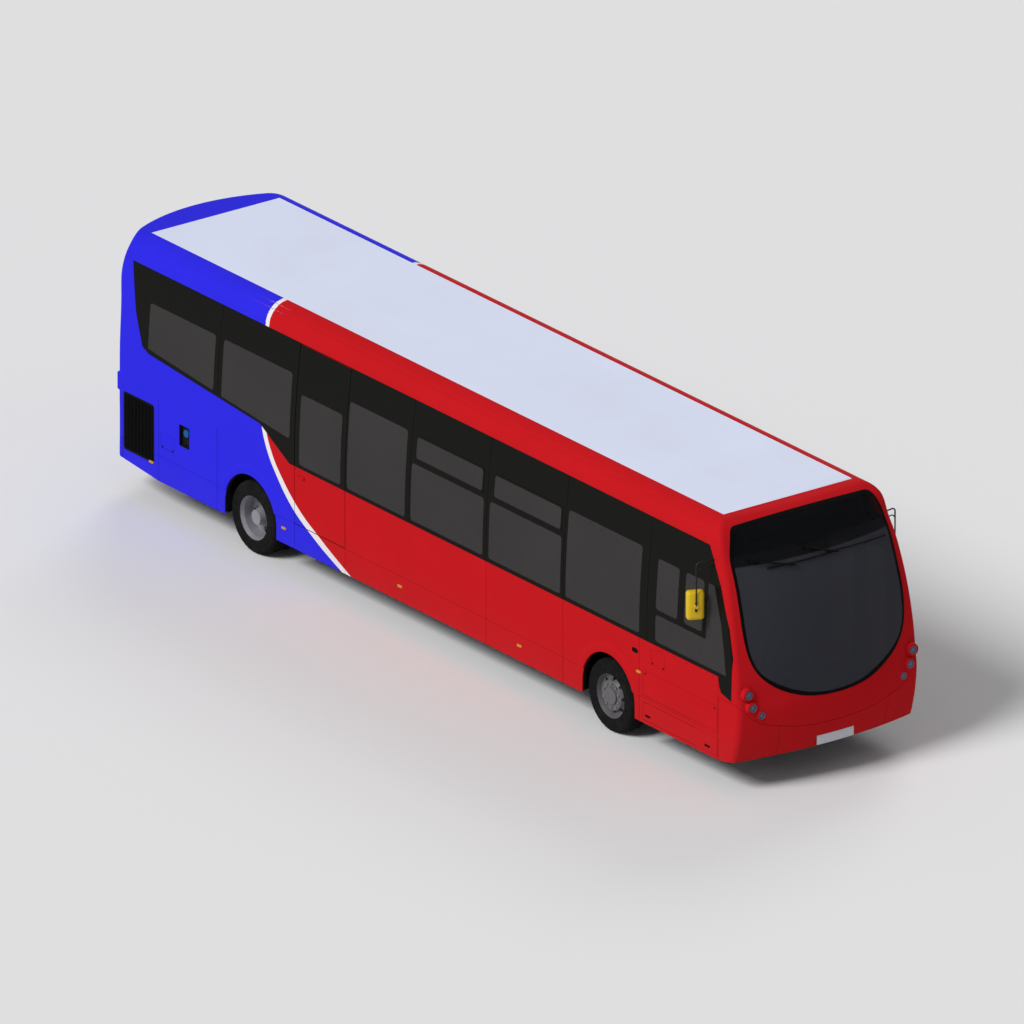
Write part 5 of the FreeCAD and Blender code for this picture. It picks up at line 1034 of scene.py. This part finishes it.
def stuffed(name, size, crown):
    """A foam pad swollen inside its cover: a blank of the given size, blown up a little by Cloth."""
    block = bmesh.new()
    low, high = [-s / 2 for s in size], [s / 2 for s in size]
    add_block(block, low, high, radius=min(size) * 0.3, steps=3)
    data = bpy.data.meshes.new(name)
    block.to_mesh(data)
    block.free()
    blank = bpy.data.objects.new(name, data)
    scene.collection.objects.link(blank)
    remesh = blank.modifiers.new("even", "REMESH")
    remesh.mode = "VOXEL"
    remesh.voxel_size = FOAM_VOXEL
    swollen = settled(blank)
    blank.modifiers.clear()
    blank.data = swollen
    rest = [vertex.co.copy() for vertex in swollen.vertices]
    cloth = blank.modifiers.new("cover", "CLOTH")
    cloth.settings.use_pressure = True
    cloth.settings.uniform_pressure_force = FOAM_PRESSURE
    cloth.settings.effector_weights.gravity = 0.0
    for step in range(1, FOAM_FRAMES + 1):
        scene.frame_set(step)
    swollen = settled(blank)
    blank.modifiers.clear()
    for vertex, start in zip(swollen.vertices, rest):
        move = vertex.co - start
        if move.length > FOAM_LIMIT:
            vertex.co = start + move.normalized() * FOAM_LIMIT
    scene.frame_set(1)
    bpy.data.objects.remove(blank)
    pad = bmesh.new()
    pad.from_mesh(swollen)
    half_x, half_y = size[0] / 2, size[1] / 2
    for vertex in pad.verts:
        dome = max(1 - (vertex.co.x / half_x) ** 2, 0) * max(1 - (vertex.co.y / half_y) ** 2, 0)
        if vertex.co.z > 0:
            vertex.co.z += crown * dome
            for channel in CHANNELS:
                gap = (vertex.co.y / size[1] - channel) * size[1]
                vertex.co.z -= CHANNEL_DEEP * math.exp(-(gap / CHANNEL_WIDE) ** 2)
    reach_y, reach_x = half_y + PIPING_OUT, half_x + PIPING_OUT
    flat = rounded_ring(0.0, (0.0, 0.0), reach_y, reach_x, PIPING_CORNER, steps=8)
    ring = [Vector((x, y, 0.0)) for _, y, x in flat]
    turns = [2 * math.pi * i / PIPING_SIDES for i in range(PIPING_SIDES)]
    upward = Vector((0, 0, 1))
    hoop = []
    for i, point in enumerate(ring):
        outward = (ring[(i + 1) % len(ring)] - ring[i - 1]).normalized().cross(upward)
        hoop.append([point + (outward * math.cos(t) + upward * math.sin(t)) * PIPING_R for t in turns])
    add_rings(pad, hoop, loop=True)
    bmesh.ops.recalc_face_normals(pad, faces=pad.faces[:])
    finished = bpy.data.meshes.new(name)
    pad.to_mesh(finished)
    pad.free()
    finished.materials.append(moquette)
    finished.polygons.foreach_set("use_smooth", [True] * len(finished.polygons))
    return finished


def place_pad(name, data, spot, tilt):
    """Sets a copy of a pad on the bus, tipped back about its width."""
    copy = data.copy()
    copy.transform(Matrix.Translation(Vector(spot)) @ Matrix.Rotation(tilt, 4, "Y"))
    pad = bpy.data.objects.new(name, copy)
    scene.collection.objects.link(pad)
    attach(pad, "bus_body")


SEAT_PAD = stuffed("seat_pad", (0.400, 0.395, 0.058), 0.010)
BACK_PAD = stuffed("back_pad", (0.620, 0.385, 0.045), 0.008)
BACK_TILT = math.radians(-81.5)
# Places are ahead of the cushion's rear edge and above the floor
CUSHION_X, CUSHION_Z = 0.222, 0.427
BACK_X, BACK_Z = -0.016, 0.810
PAN_X, PAN_Z, SHELL_HALF = (0.010, 0.430), (0.375, 0.396), 0.203
BACK_SHELL_X, BACK_SHELL_Z = -0.048, 0.765
BACK_SHELL_LENGTH, BACK_SHELL_THICK = (-0.350, 0.352), (-0.012, 0.010)
LEG_X, LEG_TOP, LEG_THICK = (0.120, 0.200), 0.380, 0.060
BEARER_X, BEARER_Z, BEARER_HALF = (0.060, 0.380), (0.352, 0.378), 0.36
HANDLE_X, HANDLE_Z, HANDLE_FOOT, HANDLE_RISE = -0.104, 1.100, 0.06, 0.022
HANDLE_HALF, HANDLE_R, HANDLE_SIDES, HANDLE_BEND = 0.40, 0.011, 10, 0.03
shells, grabs = bmesh.new(), bmesh.new()
number = 0
for side, floor_z, rear_edges in SEAT_ROWS:
    for x in rear_edges:
        number += 1
        y = side * SEAT_Y
        for half in (-1, 1):
            middle_y = y + half * SEAT_HALF
            tag = f"{number:02d}_{'outer' if half == side else 'inner'}"
            cushion_spot = (x + CUSHION_X, middle_y, floor_z + CUSHION_Z)
            place_pad("seat_cushion_" + tag, SEAT_PAD, cushion_spot, 0.0)
            back_spot = (x + BACK_X, middle_y, floor_z + BACK_Z)
            place_pad("seat_back_" + tag, BACK_PAD, back_spot, BACK_TILT)
            low = (x + PAN_X[0], middle_y - SHELL_HALF, floor_z + PAN_Z[0])
            high = (x + PAN_X[1], middle_y + SHELL_HALF, floor_z + PAN_Z[1])
            add_block(shells, low, high, radius=0.008)
            block = bmesh.new()
            low, high = zip(BACK_SHELL_LENGTH, (-SHELL_HALF, SHELL_HALF), BACK_SHELL_THICK)
            add_block(block, low, high, radius=0.009)
            spot = Vector((x + BACK_SHELL_X, middle_y, floor_z + BACK_SHELL_Z))
            lean_back = Matrix.Translation(spot) @ Matrix.Rotation(BACK_TILT, 4, "Y")
            bmesh.ops.transform(block, matrix=lean_back, verts=block.verts[:])
            join_into(shells, block)
        on_box = abs(x + 0.160 - REAR_X) < WHEEL_BOX_HALF
        foot_z = WHEEL_BOX_TOP if on_box else floor_z
        leg_y = sorted((y - side * LEG_THICK, y))
        high = (x + LEG_X[1], leg_y[1], floor_z + LEG_TOP)
        add_block(shells, (x + LEG_X[0], leg_y[0], foot_z), high, radius=0.010)
        low = (x + BEARER_X[0], y - BEARER_HALF, floor_z + BEARER_Z[0])
        high = (x + BEARER_X[1], y + BEARER_HALF, floor_z + BEARER_Z[1])
        add_block(shells, low, high, radius=0.006)
        top_x, top_z = x + HANDLE_X, floor_z + HANDLE_Z
        for way in (-1, 1):
            end_y = y + way * HANDLE_HALF
            foot, turn_spot = (top_x, end_y, top_z - HANDLE_FOOT), (top_x, end_y, top_z + HANDLE_RISE)
            handle = bend(foot, turn_spot, (top_x, y, top_z + HANDLE_RISE), HANDLE_BEND)
            add_tube(grabs, handle, HANDLE_R, HANDLE_SIDES)
seat_shells = add_piece("seat_shells", shells, "bus_body", shell_grey, smooth=35.0)
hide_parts("passenger_seats")
add_piece("seat_grab_handles", grabs, "bus_body", pole_yellow, smooth=50.0)

DRIVER_Y, CAB_FLOOR_Z = -0.640, 0.560
# Foot, bellows and pan: rear end, front end, half width, lower side, top and edge radius
DRIVER_BASE = (
    (4.330, 4.650, 0.150, CAB_FLOOR_Z, 0.700, 0.012),
    (4.360, 4.620, 0.120, 0.700, 0.860, 0.030),
    (4.275, 4.715, 0.235, 0.858, 0.884, 0.010),
)
base = bmesh.new()
for x0, x1, half, z0, z1, edge in DRIVER_BASE:
    add_block(base, (x0, DRIVER_Y - half, z0), (x1, DRIVER_Y + half, z1), edge)
driver_base = add_piece("driver_seat_base", base, "bus_body", shell_grey, smooth=35.0)
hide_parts("driver_seat")
# Name, blank, its size and crown, then its place along the bus, its height and its tilt
DRIVER_PADS = (
    ("driver_cushion", "driver_pad", (0.430, 0.460, 0.080), 0.012, 4.500, 0.922, 0.0),
    ("driver_backrest", "driver_back", (0.700, 0.450, 0.085), 0.010, 4.298, 1.300, -84.5),
    ("driver_headrest", "driver_head", (0.180, 0.240, 0.070), 0.006, 4.262, 1.735, -86.0),
)
for name, blank_name, size, crown, x, z, tilt in DRIVER_PADS:
    place_pad(name, stuffed(blank_name, size, crown), (x, DRIVER_Y, z), math.radians(tilt))
